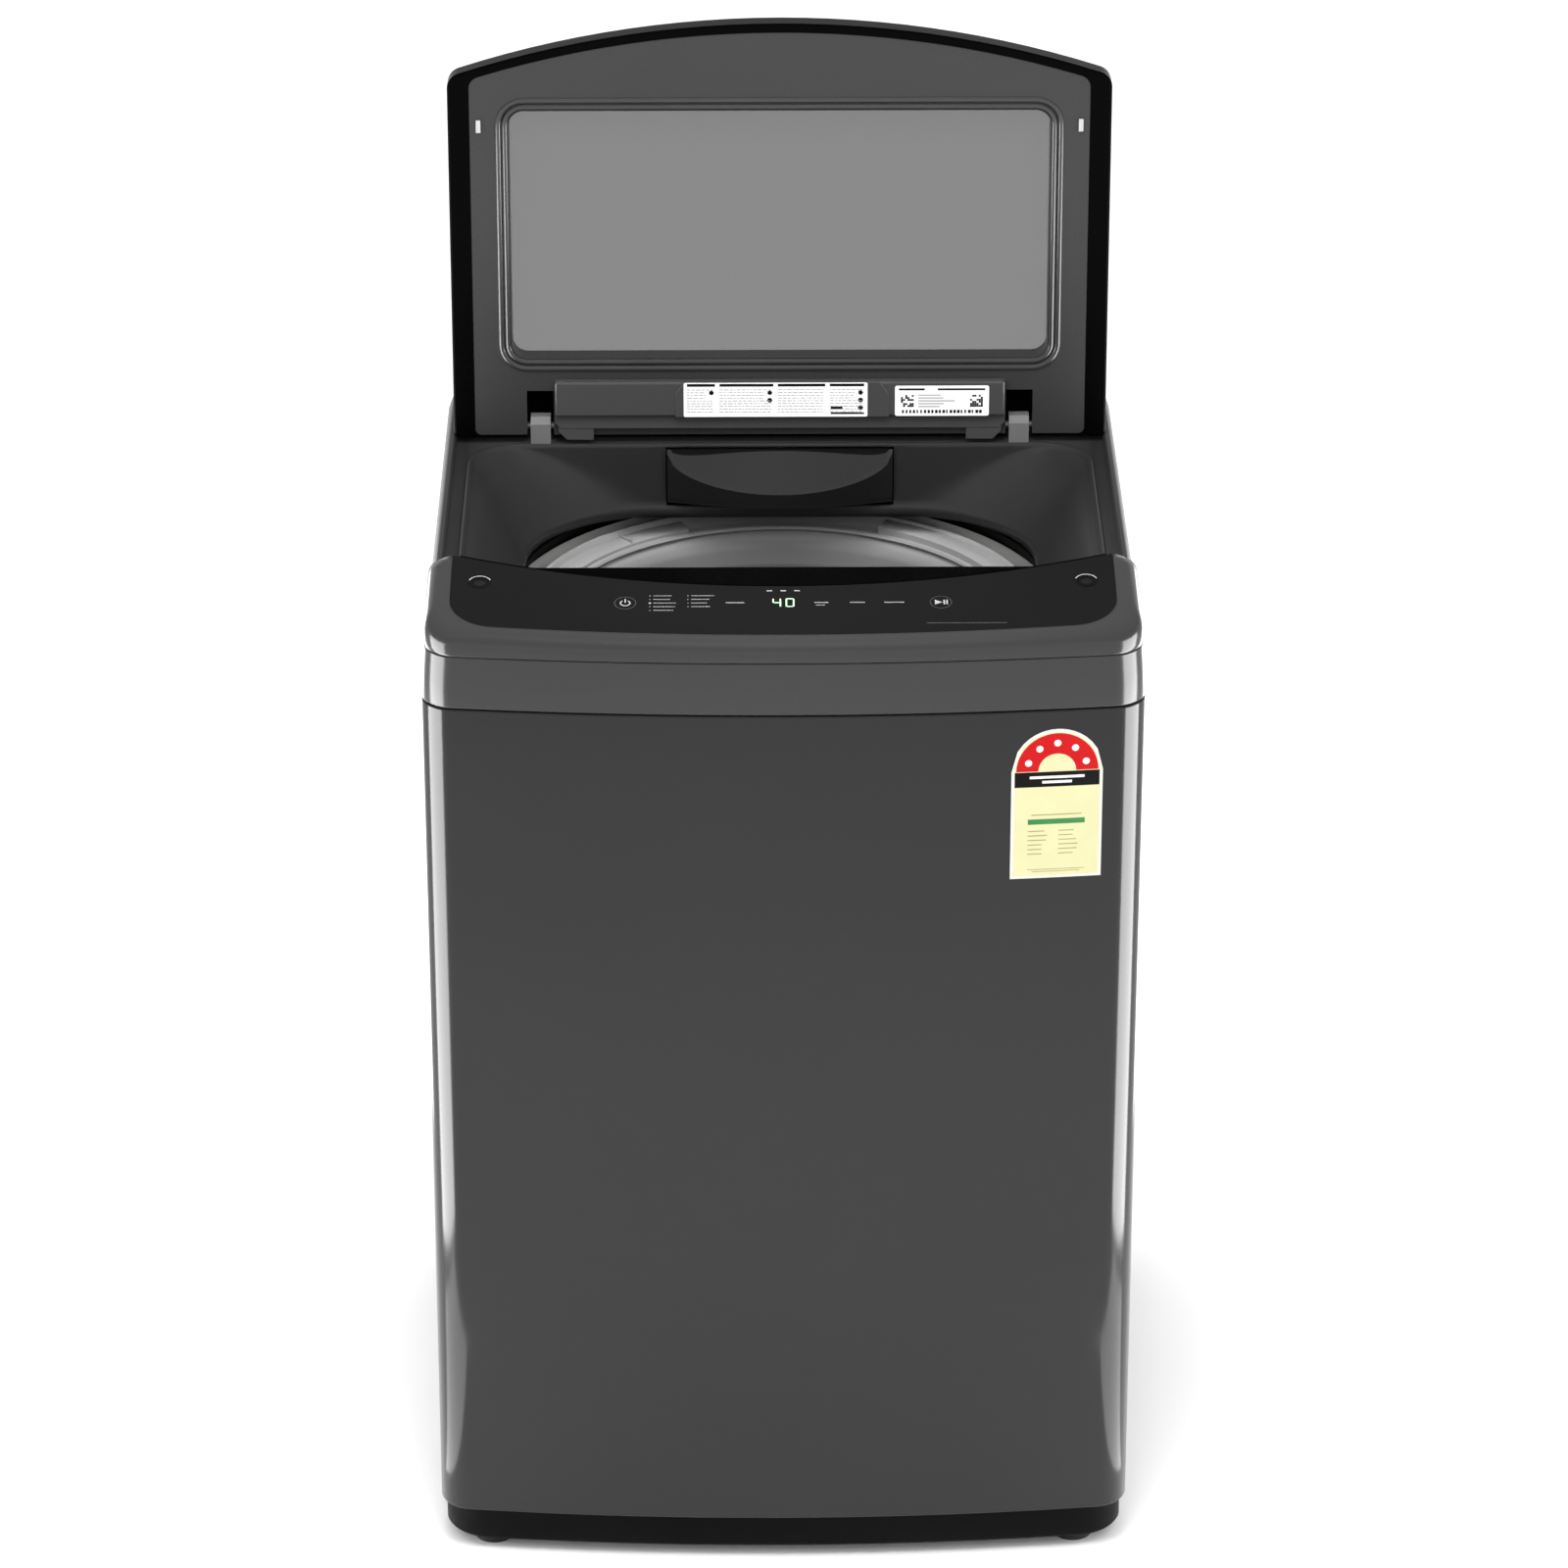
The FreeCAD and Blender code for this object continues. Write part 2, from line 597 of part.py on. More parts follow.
def build_control_panel():
    body = new_body("control_panel")
    sketch = new_sketch(body, "panel_plan", tilt=dim.panel_slope,
                        pivot=(dim.panel_front, dim.panel_front_level - dim.panel_thickness))
    outline(sketch, dim.panel_half_width, 0, 170, dim.panel_corner, 8, dim.front_bow_radius)
    pad(body, sketch, dim.panel_thickness)
    rear = new_sketch(body, "panel_rear_cut", level=dim.crease_level - 1)
    region_edges(rear, 340, dim.panel_rear, 20, dim.panel_rear_radius)
    cut_up(body, rear, 90)
    dimples = new_sketch(body, "bumper_holes", tilt=dim.panel_slope,
                         pivot=(dim.panel_front, dim.panel_front_level - dim.panel_thickness - 1))
    for side in (-1, 1):
        circle(dimples, (dim.bumper_offset * side, dim.bumper_rise), dim.bumper_radius + 0.3)
    cut_up(body, dimples, 6)
    bumpers = [rod("bumper_left", dim.bumper_radius, 2.6, (-dim.bumper_offset, 0, 0)),
               rod("bumper_right", dim.bumper_radius, 2.6, (dim.bumper_offset, 0, 0))]
    bumper_pair = keep(group("panel_bumpers", bumpers), "panel_bumpers")
    angle = math.radians(dim.panel_slope.value)
    base = Vector(0, dim.panel_front.value, dim.panel_front_level.value - dim.panel_thickness.value)
    along = Vector(0, math.cos(angle), math.sin(angle)) * dim.bumper_rise.value
    bumper_pair.Placement = Placement(base + along, Rotation(Vector(1, 0, 0), dim.panel_slope.value))


def build_panel_carrier():
    body = new_body("panel_carrier")
    sketch = new_sketch(body, "carrier_plan", level=dim.deck_level)
    region_edges(sketch, 284, dim.panel_rear + 0.6, dim.bowl_front, dim.panel_rear_radius)
    pad(body, sketch, 36)
    step = new_sketch(body, "carrier_step", level=dim.deck_level + 2.5)
    region_edges(step, 300, dim.panel_rear + 3.6, 0, dim.panel_rear_radius)
    cut_up(body, step, 60)
    slope = new_sketch(body, "carrier_slope", tilt=dim.panel_slope,
                       pivot=(dim.panel_front, dim.panel_front_level - 1))
    rectangle(slope, -350, 350, -20, 260)
    cut_up(body, slope, 60)
    tilt = Rotation(Vector(1, 0, 0), dim.panel_slope.value)
    board_plate = box("board_plate", (-150, 150), (12, 52), (-14, -12))
    board = keep(group("control_board", [board_plate]), "control_board")
    base = Vector(0, dim.panel_front.value, dim.panel_front_level.value)
    board.Placement = Placement(base, tilt)
    display_case = box("display_case", (-16, 16), (30, 48), (-11.8, -3.2))
    display = keep(group("display_module", [display_case]), "display_module")
    display.Placement = Placement(base, tilt)
    lock = box("lock_case", (150, 206), (-208, -162), (886, 908))
    keep(group("lid_lock", [lock]), "lid_lock")


def build_rear_cover():
    body = new_body("rear_cover")
    sketch = new_sketch(body, "rear_cover_plan", level=dim.deck_level)
    outline(sketch, 303, 200, dim.cabinet_rear - 12, 8, 12)
    pad(body, sketch, 35)
    round_edges(body, 7, at_level(dim.deck_level.value + 35))
    hollow = new_sketch(body, "rear_cover_hollow", level=dim.deck_level)
    outline(hollow, 300.5, 202.5, dim.cabinet_rear - 14.5, 6, 10)
    cut_up(body, hollow, 32)
    ports = new_sketch(body, "rear_cover_ports", role="XZ_Plane", level=-320)
    for x in (dim.inlet_cold_offset, dim.inlet_hot_offset):
        circle(ports, (x, dim.inlet_level), dim.inlet_radius + 1.8)
    cut_up(body, ports, 60)


def build_inlet_valves():
    rearward = (0, 1, 0)
    z = dim.inlet_level
    for name, x in (("inlet_valve_cold", dim.inlet_cold_offset), ("inlet_valve_hot", dim.inlet_hot_offset)):
        spigot = fuse(name + "_spigot", [
            rod(name + "_thread", dim.inlet_radius, 57, (x, 258, z), rearward),
            rod(name + "_collar", dim.inlet_radius + 1.5, 5, (x, 283, z), rearward)])
        case = box(name + "_case", (x - 15, x + 15), (236, 262), (z - 15, z + 8))
        coil = rod(name + "_coil", 11, 24, (x, 212, z - 3), rearward)
        solid = fuse(name + "_solid", [spigot, case, coil])
        keep(cut(name, solid, rod(name + "_bore", 8, 40, (x, 280, z), rearward)), name)


def build_dispenser():
    low, high = dim.drawer_bottom, dim.drawer_top
    case = box("housing_case", (-112, 112), (dim.bowl_rear + 3.3, 280), (low - 4, dim.deck_level - 3))
    void = box("housing_void", (-107, 107), (150, 277), (low - 1, high + 0.5))
    keep(cut("dispenser_housing", case, void), "dispenser_housing")
    front, rear, wall = dim.drawer_front_plane + 1, dim.tray_rear, dim.tray_wall
    side = dim.tray_half_width
    tray = box("tray_block", (-side, side), (front, rear), (low + 1, high - 4))
    room = (front + wall, rear - wall)
    cups = [box("tray_cup_left", (wall - side, -4), room, (low + 4, high)),
            box("tray_cup_right", (4, side - wall), room, (low + 4, high))]
    keep(cut("drawer_tray", tray, fuse("tray_cups", cups)), "drawer_tray")
    body = new_body("drawer_front")
    sketch = new_sketch(body, "drawer_front_plan", level=low)
    region_edges(sketch, dim.drawer_half_width, 150, dim.drawer_front_plane + 1, dim.drawer_front_radius)
    pad(body, sketch, high - low)


# ---------------------------------------------------------------- lid (built closed, then swung open)

def swing_open(piece):
    """Turn a lid piece about the hinge axis from closed to open."""
    turn = Rotation(Vector(1, 0, 0), -(90 + dim.lid_lean.value))
    pivot = Vector(0, dim.pivot_setback.value, dim.pivot_level.value)
    piece.Placement = Placement(pivot - turn.multVec(pivot), turn)


def mirrored_spans(inner, outer):
    """The (low, high) pair of x on each side of the middle."""
    return [(-outer, -inner), (inner, outer)]


def build_lid_frame():
    under, top, bow = dim.lid_under, dim.lid_top, dim.lid_bow_radius
    frame = new_body("lid_frame")
    sketch = new_sketch(frame, "lid_plan", level=under)
    outline(sketch, dim.lid_half_width, dim.lid_front, dim.lid_rear, 15, 8, bow)
    pad(frame, sketch, top - under)
    round_edges(frame, 6, at_level(top.value))
    round_edges(frame, 2, at_level(under.value))
    mouth = new_sketch(frame, "lid_flange_opening", level=under)
    outline(mouth, dim.inner_half_width, dim.lid_front + 8, dim.lid_rear - 2.5, 12, 6, bow - 8)
    cut_up(frame, mouth, 4)
    cavity = new_sketch(frame, "lid_cavity", level=under + 3)
    outline(cavity, dim.lid_half_width - 3, dim.lid_front + 3, dim.lid_rear - 2.5, 12, 6, bow - 3)
    cut_up(frame, cavity, top - under - 7)
    light = new_sketch(frame, "lid_light", level=under)
    outline(light, dim.window_half_width + 15, dim.window_front - 12, dim.window_rear + 14, 24, 24)
    cut_up(frame, light, 40)
    notch = new_sketch(frame, "frame_hinge_notch", level=under - 1)
    for span in mirrored_spans(dim.hinge_slot_inner - 0.6, dim.hinge_slot_outer + 0.6):
        rectangle(notch, *span, dim.pivot_setback - 10, dim.lid_rear + 5)
    cut_up(frame, notch, 22)
    return frame


def build_lid_glass():
    glass = new_body("lid_glass")
    pane = new_sketch(glass, "glass_plan", level=dim.lid_top - 3.6)
    outline(pane, dim.window_half_width + 14.6, dim.window_front - 11.6, dim.window_rear + 13.6, 23.6, 23.6)
    pad(glass, pane, 3.2)
    return glass


def build_lid_inner_frame():
    under, bow = dim.lid_under, dim.lid_bow_radius
    inner = new_body("lid_inner_frame")
    plate = new_sketch(inner, "inner_plan", level=under + 0.8)
    outline(plate, dim.inner_half_width - 0.4, dim.lid_front + 8.4, dim.lid_rear - 2.9, 11.6, 5.6, bow - 8.4)
    pad(inner, plate, 2.6)
    wall = new_sketch(inner, "window_wall", level=under + 0.8)
    outline(wall, dim.window_half_width + 9, dim.window_front - 7, dim.window_rear + 9, 20, 20)
    pad(inner, wall, dim.lid_top - under - 4.6)
    hole = new_sketch(inner, "window_hole", level=under)
    outline(hole, dim.window_half_width, dim.window_front, dim.window_rear,
            dim.window_corner, dim.window_corner)
    cut_up(inner, hole, 40)
    ears = new_sketch(inner, "hinge_ears", level=under + 0.8)
    for offset in (dim.hinge_slot_inner - 6.6, dim.hinge_slot_outer + 0.1):
        for span in mirrored_spans(offset, offset + 6.5):
            rectangle(ears, *span, dim.pivot_setback - 8, dim.pivot_setback + 7)
    pad(inner, ears, 15)
    slots = new_sketch(inner, "hinge_slots", level=under)
    for span in mirrored_spans(dim.hinge_slot_inner, dim.hinge_slot_outer):
        rectangle(slots, *span, dim.pivot_setback - 36, dim.lid_rear + 2)
    cut_up(inner, slots, 40)
    bores = new_sketch(inner, "pin_bores", role="YZ_Plane")
    circle(bores, (dim.pivot_setback, dim.pivot_level), dim.hinge_pin_radius)
    cut_both(inner, bores, 700)
    pads = new_sketch(inner, "pad_slots", level=under)
    for span in mirrored_spans(dim.lid_pad_inner, dim.lid_pad_outer):
        rectangle(pads, *span, dim.lid_pad_front, dim.lid_pad_rear)
    cut_up(inner, pads, 10)
    return inner


def build_glass_trim():
    under = dim.lid_under
    trim = new_body("glass_trim")
    bead = new_sketch(trim, "bead_plan", level=under - 2.2)
    outline(bead, dim.window_half_width + 11, dim.window_front - 8, dim.window_rear + 10, 22, 22)
    pad(trim, bead, 3)
    round_edges(trim, 1.2, at_level(under.value - 2.2))
    hole = new_sketch(trim, "bead_hole", level=under - 3)
    outline(hole, dim.window_half_width + 4, dim.window_front - 4, dim.window_rear + 4, 17, 17)
    cut_up(trim, hole, 10)
    return trim


def build_hinge_cover():
    front, rear, low = dim.hinge_cover_front, dim.hinge_cover_rear, dim.hinge_cover_under
    join = dim.lid_under + 0.8
    cover = new_body("hinge_cover")
    profile = new_sketch(cover, "hinge_cover_profile", role="YZ_Plane")
    polygon(profile, [(front, join), (front + 3, low), (rear - 13, low), (rear - 9, low + 7),
                      (rear, low + 7), (rear, join)])
    pad(cover, profile, dim.hinge_cover_width, both_ways=True)
    return cover


def build_lid_trim_pieces():
    """The closing pads, the hinge pins and the two printed labels on the hinge cover."""
    room = 0.4
    pad_depth = (dim.lid_pad_front + room, dim.lid_pad_rear - room)
    pad_spans = mirrored_spans(dim.lid_pad_inner + room, dim.lid_pad_outer - room)
    pads = group("lid_pad_pair", [
        box("lid_pad_%d" % i, span, pad_depth, (dim.lid_under - 2, dim.lid_under + 3))
        for i, span in enumerate(pad_spans, start=1)])
    pin_length = 38
    pin_spans = mirrored_spans(dim.hinge_offset - pin_length / 2, dim.hinge_offset + pin_length / 2)
    pins = group("pin_pair", [
        rod("pin_%d" % i, dim.hinge_pin_radius, pin_length,
            (span[0], dim.pivot_setback, dim.pivot_level), (1, 0, 0))
        for i, span in enumerate(pin_spans, start=1)])
    under = dim.hinge_cover_under
    sheet_depth = (under - dim.lid_label_thickness, under)
    info = group("info_sheet", [box("info_plate", (-90, 80), (129.5, 162.5), sheet_depth)])
    rating = group("rating_sheet", [box("rating_plate", (106, 194), (131, 161), sheet_depth)])
    return [keep(pads, "lid_pads"), keep(pins, "hinge_pins"),
            keep(info, "info_label"), keep(rating, "rating_label")]


def build_lid():
    pieces = [build_lid_frame(), build_lid_glass(), build_lid_inner_frame(), build_glass_trim(),
              build_hinge_cover()]
    for piece in pieces + build_lid_trim_pieces():
        swing_open(piece)


def build_hinge_brackets():
    for word, side in (("left", -1), ("right", 1)):
        body = new_body("hinge_bracket_" + word)
        sketch = new_sketch(body, "bracket_profile_" + word, role="YZ_Plane", level=dim.hinge_offset * side)
        y, z = dim.pivot_setback, dim.pivot_level
        polygon(sketch, [(y - 10, dim.deck_level), (y + 10, dim.deck_level), (y + 10, z + 4), (y + 5, z + 10),
                         (y - 5, z + 10), (y - 10, z + 4)])
        pad(body, sketch, dim.hinge_arm_width, both_ways=True)
        bore = new_sketch(body, "bracket_bore_" + word, role="YZ_Plane", level=dim.hinge_offset * side)
        circle(bore, (y, z), dim.hinge_pin_radius + 0.05)
        cut_both(body, bore, 40)


# ---------------------------------------------------------------- tub, drum and pulsator

def build_tub():
    outer, inner = dim.tub_radius, dim.tub_radius - dim.tub_wall
    bottom, top = dim.tub_bottom, dim.tub_top
    tub = turned("outer_tub", [
        (46, bottom), (outer - 14, bottom), (outer, bottom + 14), (outer, top),
        (inner, top), (inner, bottom + 16), (inner - 12, bottom + 5), (46, bottom + 5)])
    lugs = new_sketch(tub, "tub_lugs", level=320)
    for x, y in four_corners(1, 1):
        cx = dim.rod_spread_x * x
        cy = dim.rod_spread_y * y
        polygon(lugs, [(cx - 26 * x, cy + 26 * y), (cx - 90 * x, cy - 20 * y),
                       (cx - 46 * x, cy - 68 * y), (cx + 26 * x, cy - 26 * y), (cx + 26 * x, cy + 26 * y)])
    pad(tub, lugs, 14)
    clear = new_sketch(tub, "tub_clear", level=300)
    circle(clear, (0, 0), inner)
    cut_up(tub, clear, 60)
    holes = new_sketch(tub, "lug_holes", level=310)
    for x, y in four_corners(dim.rod_spread_x, dim.rod_spread_y):
        circle(holes, (x, y), 8)
    cut_up(tub, holes, 40)
    turned("tub_cover", [
        (252, top + 6), (252, top), (outer, top), (outer, top - 20), (dim.cover_radius, top - 20),
        (dim.cover_radius, top + 6), (262, top + 16), (243, top + 16), (243, top + 10), (248, top + 10)])
    build_dampers()


def build_dampers():
    cups = []
    coils = []
    base = dim.cup_bottom
    for i, (x, y) in enumerate(four_corners(dim.rod_spread_x, dim.rod_spread_y), start=1):
        wall = rod("cup_wall_%d" % i, dim.cup_radius, 72, (x, y, base))
        room = rod("cup_room_%d" % i, dim.cup_radius - 3, 66, (x, y, base + 3))
        neck = rod("cup_neck_%d" % i, 6, 40, (x, y, base + 52))
        cups.append(cut("damper_cup_%d" % i, wall, fuse("cup_void_%d" % i, [room, neck])))
        seat = (x, y, dim.spring_level)
        coils.append(coil_spring("coil_%d" % i, seat, dim.spring_radius.value, 30, 9.1, 1.8))
    keep(group("damper_cups", cups), "damper_cups")
    keep(group("suspension_springs", coils), "suspension_springs")


def coil_spring(name, base, coil_radius, tall, pitch, wire_radius):
    """A round wire swept along a helix that stands on its base point."""
    helix = doc.addObject("Part::Helix", name + "_path")
    helix.Radius = coil_radius
    helix.Height = tall
    helix.Pitch = pitch
    wire = doc.addObject("Part::Circle", name + "_wire")
    wire.Radius = wire_radius
    wire.Placement = Placement(Vector(coil_radius, 0, 0), Rotation(Vector(1, 0, 0), 90))
    sweep = doc.addObject("Part::Sweep", name)
    sweep.Sections = [wire]
    sweep.Spine = (helix, [])
    sweep.Solid = True
    sweep.Frenet = True
    for axis, place in zip("xyz", base):
        bind(sweep, "Placement.Base." + axis, place)
    return sweep


def build_drive():
    """Bearings, shafts and the direct-drive motor under the tub."""
    r, b = dim.tube_shaft_radius, dim.bearing_radius
    turned("bearing_housing", [
        (24, 190), (40, 190), (45, 196), (45, 204), (150, 204), (150, 214), (45.9, 214),
        (45.9, 222), (40, 246), (b, 246), (b, 232), (24, 232), (24, 208), (24, 204)])
    ring("bearing_upper", r + 0.05, b, 232, 246)
    ring("bearing_lower", r + 0.05, 23.9, 192, 204)
    turned("shaft_seal", [(r + 0.1, 247), (40, 246.2), (40, 250), (r + 0.1, 255)])
    turned("motor_stator", [
        (46, 190), (60, 190), (60, 158), (125, 158), (125, 196), (60, 196), (60, 203.9), (46, 203.9)])
    ring("tube_shaft", 9, r, 188, 276)
    inner = dim.inner_shaft_radius
    turned("inner_shaft", [(0, 148), (inner, 148), (inner, 324), (0, 324)])
    turned("motor_rotor", [
        (inner, 150), (127, 150), (127, 148), (134, 148), (134, 198), (127, 198),
        (127, 154), (22, 154), (22, 176), (inner, 176)])
    pump = fuse("valve_solid", [rod("valve_case", 32, 60, (-150, 120, 150)),
                                rod("valve_neck", 20, 12, (-150, 120, 202))])
    keep(pump, "drain_valve")


def build_basket():
    """The spinning drum: hub, perforated basket, balance ring and lint filters."""
    outer, wall = dim.basket_radius, dim.basket_wall
    low, top = dim.basket_bottom, dim.basket_top
    turned("basket_hub", [
        (dim.tube_shaft_radius, low - 10), (60, low - 10), (200, low - 2), (232, low - 6),
        (234, low - 0.5), (60, low - 0.5), (60, low + 8), (dim.tube_shaft_radius, low + 8)])
    turned("wash_basket", [
        (60, low), (outer - 4, low), (outer, low + 5), (outer, top),
        (outer - wall, top), (outer - wall, low + 6), (outer - 5, low + 1.5), (60, low + 1.5)])
    inner, rim, lip = dim.ring_inner_radius, dim.ring_outer_radius, dim.ring_lip_radius
    turned("balance_ring", [
        (inner + 6, dim.ring_bottom), (rim - 2, dim.ring_bottom), (rim - 2, top), (rim + 1, top),
        (rim, dim.ring_top - 12), (lip, dim.ring_top), (lip - 6, dim.ring_top),
        (inner + 5, dim.ring_inner_level + 2), (inner, dim.ring_inner_level - 2),
        (inner, dim.ring_bottom + 8)])
    for word, side in (("left", -1), ("right", 1)):
        filter_box = box("filter_%s" % word, sorted((237 * side, 214 * side)),
                         (-dim.filter_half_width, dim.filter_half_width), (dim.filter_bottom, dim.filter_top))
        limit = rod("filter_limit_%s" % word, outer - 2, 200, (0, 0, dim.filter_bottom - 20))
        common = doc.addObject("Part::Common", "lint_filter_" + word)
        common.Base = filter_box
        common.Tool = limit
        keep(common, "lint_filter_" + word)


def build_pulsator():
    rim = dim.pulsator_radius
    turned("pulsator", [
        (9, 290), (40, 290), (40, 282), (rim - 8, 282), (rim, 290),
        (rim - 14, 296), (60, 304), (34, 330), (22, 330), (22, 326), (9, 326)])
    turned("pulsator_cap", [(0, 326.4), (21.5, 326.4), (21.5, 332), (14, 337), (0, 337)])


def check_and_write():
    doc.recompute()
    for item in doc.Objects:
        bad = [word for word in item.State if word in ("Invalid", "Error")]
        if bad:
            raise RuntimeError("%s (%s) is %s" % (item.Name, item.Label, bad))
    os.makedirs("parts", exist_ok=True)
    for piece in nodes:
        if piece.Shape.isNull() or not piece.Shape.isValid():
            raise RuntimeError(piece.Label + " has no valid shape")
    for piece in nodes:
        piece.Shape.exportStep(os.path.join("parts", piece.Label + ".step"))
    print(len(nodes), "nodes written")


build_base()
build_feet()
build_cabinet_shell()
build_rear_panel()
build_suspension_mounts()
build_back_fittings()
build_energy_label()
build_top_cover()
build_front_bezel()
build_control_panel()
build_panel_carrier()
build_rear_cover()
build_inlet_valves()
build_dispenser()
build_lid()
build_hinge_brackets()
build_tub()
build_drive()
build_basket()
build_pulsator()
check_and_write()
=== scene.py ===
import json
import math
import random

import bmesh
import bpy
from mathutils import Matrix, Vector


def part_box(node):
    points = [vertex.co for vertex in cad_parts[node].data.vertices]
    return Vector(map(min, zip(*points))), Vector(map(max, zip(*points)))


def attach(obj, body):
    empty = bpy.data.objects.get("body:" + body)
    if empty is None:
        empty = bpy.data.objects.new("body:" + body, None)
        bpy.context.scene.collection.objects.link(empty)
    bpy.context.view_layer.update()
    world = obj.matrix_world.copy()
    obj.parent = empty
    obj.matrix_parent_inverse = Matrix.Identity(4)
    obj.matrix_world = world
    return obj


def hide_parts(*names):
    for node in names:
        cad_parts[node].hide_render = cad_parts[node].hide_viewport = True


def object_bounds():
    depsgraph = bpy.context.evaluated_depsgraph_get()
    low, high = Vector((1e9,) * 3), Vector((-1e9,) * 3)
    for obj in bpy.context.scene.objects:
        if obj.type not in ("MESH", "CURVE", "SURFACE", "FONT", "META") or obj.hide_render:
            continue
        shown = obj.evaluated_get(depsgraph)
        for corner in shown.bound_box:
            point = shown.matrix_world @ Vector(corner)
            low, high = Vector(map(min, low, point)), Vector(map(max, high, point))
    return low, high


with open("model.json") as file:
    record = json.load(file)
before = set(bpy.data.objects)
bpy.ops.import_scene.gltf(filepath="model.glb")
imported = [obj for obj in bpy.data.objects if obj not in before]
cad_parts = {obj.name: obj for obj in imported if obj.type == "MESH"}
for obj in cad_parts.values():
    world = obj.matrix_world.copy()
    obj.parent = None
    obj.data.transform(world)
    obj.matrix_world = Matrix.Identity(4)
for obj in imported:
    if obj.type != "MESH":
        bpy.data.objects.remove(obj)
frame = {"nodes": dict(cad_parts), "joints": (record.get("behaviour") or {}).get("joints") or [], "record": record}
nodes = frame["nodes"]
cad_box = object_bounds()
scene = bpy.context.scene
MM = 0.001
SIDES = (("left", -1), ("right", 1))


class Extent:
    """A CAD node's box at rest, in millimetres."""

    def __init__(self, node):
        low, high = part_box(node)
        self.left, self.front, self.bottom = (value / MM for value in low)
        self.right, self.rear, self.top = (value / MM for value in high)


cabinet = Extent("cabinet_shell")
cover = Extent("top_cover")
bezel = Extent("front_bezel")
panel = Extent("control_panel")
carrier = Extent("panel_carrier")
drawer = Extent("drawer_front")
plinth = Extent("base_frame")
basket = Extent("wash_basket")
ring_box = Extent("balance_ring")
sticker_box = Extent("energy_label")
CABINET_FRONT = -315
CABINET_REAR = 300

FRONT_BOW = 2400
FRONT_CORNER = 32
REAR_CORNER = 10
PANEL_SLOPE = math.radians(10.8)
PANEL_FRONT = -295
PANEL_FRONT_LEVEL = 923.5
BEZEL_FRONT = -312.5
PANEL_REAR_RADIUS = 877
DECK_LEVEL = carrier.bottom
PANEL_REAR = carrier.front - 0.6
ARC_CENTRE = PANEL_REAR + PANEL_REAR_RADIUS


# ---------------------------------------------------------------- camera, world and lights

CAMERA_DISTANCE = 5.017
CAMERA_HEIGHT = 3.130
CAMERA_SIDE = -0.040
CAMERA_PITCH = math.radians(25)
CAMERA_YAW = math.atan2(-CAMERA_SIDE, CAMERA_DISTANCE)
LENS_PER_SENSOR = 6500 / 1600


def make_camera():
    data = bpy.data.cameras.new("camera")
    data.sensor_width = 36
    data.lens = 36 * LENS_PER_SENSOR
    data.clip_end = 60
    camera = bpy.data.objects.new("camera", data)
    scene.collection.objects.link(camera)
    camera.location = (CAMERA_SIDE, cabinet.front * MM - CAMERA_DISTANCE, CAMERA_HEIGHT)
    camera.rotation_euler = (math.pi / 2 - CAMERA_PITCH, 0, -CAMERA_YAW)
    scene.camera = camera


def make_area(name, place, aim, size, power, kind="fill"):
    data = bpy.data.lights.new(name, "AREA")
    data.shape = "RECTANGLE"
    data.size, data.size_y = size
    data.energy = power
    light = bpy.data.objects.new(name, data)
    scene.collection.objects.link(light)
    light.location = place
    light.rotation_euler = (Vector(aim) - Vector(place)).to_track_quat("-Z", "Y").to_euler()
    light.visible_camera = False
    light.visible_glossy = kind == "highlight"
    light.visible_diffuse = kind == "fill"
    return light


def make_world():
    """A white surround at eye level under a dim ceiling."""
    world = bpy.data.worlds.new("studio")
    scene.world = world
    world.use_nodes = True
    tree = world.node_tree
    background = tree.nodes["Background"]
    place = tree.nodes.new("ShaderNodeTexCoord")
    split = tree.nodes.new("ShaderNodeSeparateXYZ")
    ramp = tree.nodes.new("ShaderNodeMapRange")
    ramp.inputs["From Min"].default_value = 0.2
    ramp.inputs["From Max"].default_value = 0.42
    ramp.inputs["To Min"].default_value = 1.0
    ramp.inputs["To Max"].default_value = 0.28
    tree.links.new(place.outputs["Generated"], split.inputs[0])
    tree.links.new(split.outputs["Z"], ramp.inputs["Value"])
    tree.links.new(ramp.outputs["Result"], background.inputs["Strength"])
    background.inputs["Color"].default_value = (1, 1, 1, 1)


def make_studio():
    make_world()
    for word, side in SIDES:
        make_area("strip_front_" + word, (0.75 * side, -0.42, 0.505), (0.3 * side, -0.3, 0.505),
                  (0.46, 0.99), 24.75, "highlight")
        make_area("strip_rear_" + word, (0.74 * side, 0.46, 0.46), (0.3 * side, 0.28, 0.46),
                  (0.34, 0.88), 5, "highlight")
        make_area("strip_low_" + word, (0.53 * side, -0.38, 0.012), (0.53 * side, -0.38, 1.0),
                  (0.3, 0.3), 1.1, "highlight")
    make_area("ceiling", (0, 0, 4.2), (0, 0, 0), (24, 24), 1950)
    make_area("overhead", (-0.1, -1.0, 2.8), (0, 0.1, 0.8), (0.9, 0.9), 52)
    make_area("drum_fill", (0, -0.25, 1.15), (0, 0.2, 0.8), (0.3, 0.2), 0.6)
    scene.view_settings.view_transform = "Standard"
    scene.view_settings.look = "None"
    floor_mesh = bpy.data.meshes.new("floor")
    shape = bmesh.new()
    bmesh.ops.create_grid(shape, x_segments=2, y_segments=2, size=14)
    shape.to_mesh(floor_mesh)
    shape.free()
    floor = bpy.data.objects.new("floor", floor_mesh)
    scene.collection.objects.link(floor)
    floor.location.z = cad_box[0][2]
    floor_mesh.materials.append(plain_material("floor_finish", (0.93, 0.93, 0.93), 0.9))


# ---------------------------------------------------------------- materials

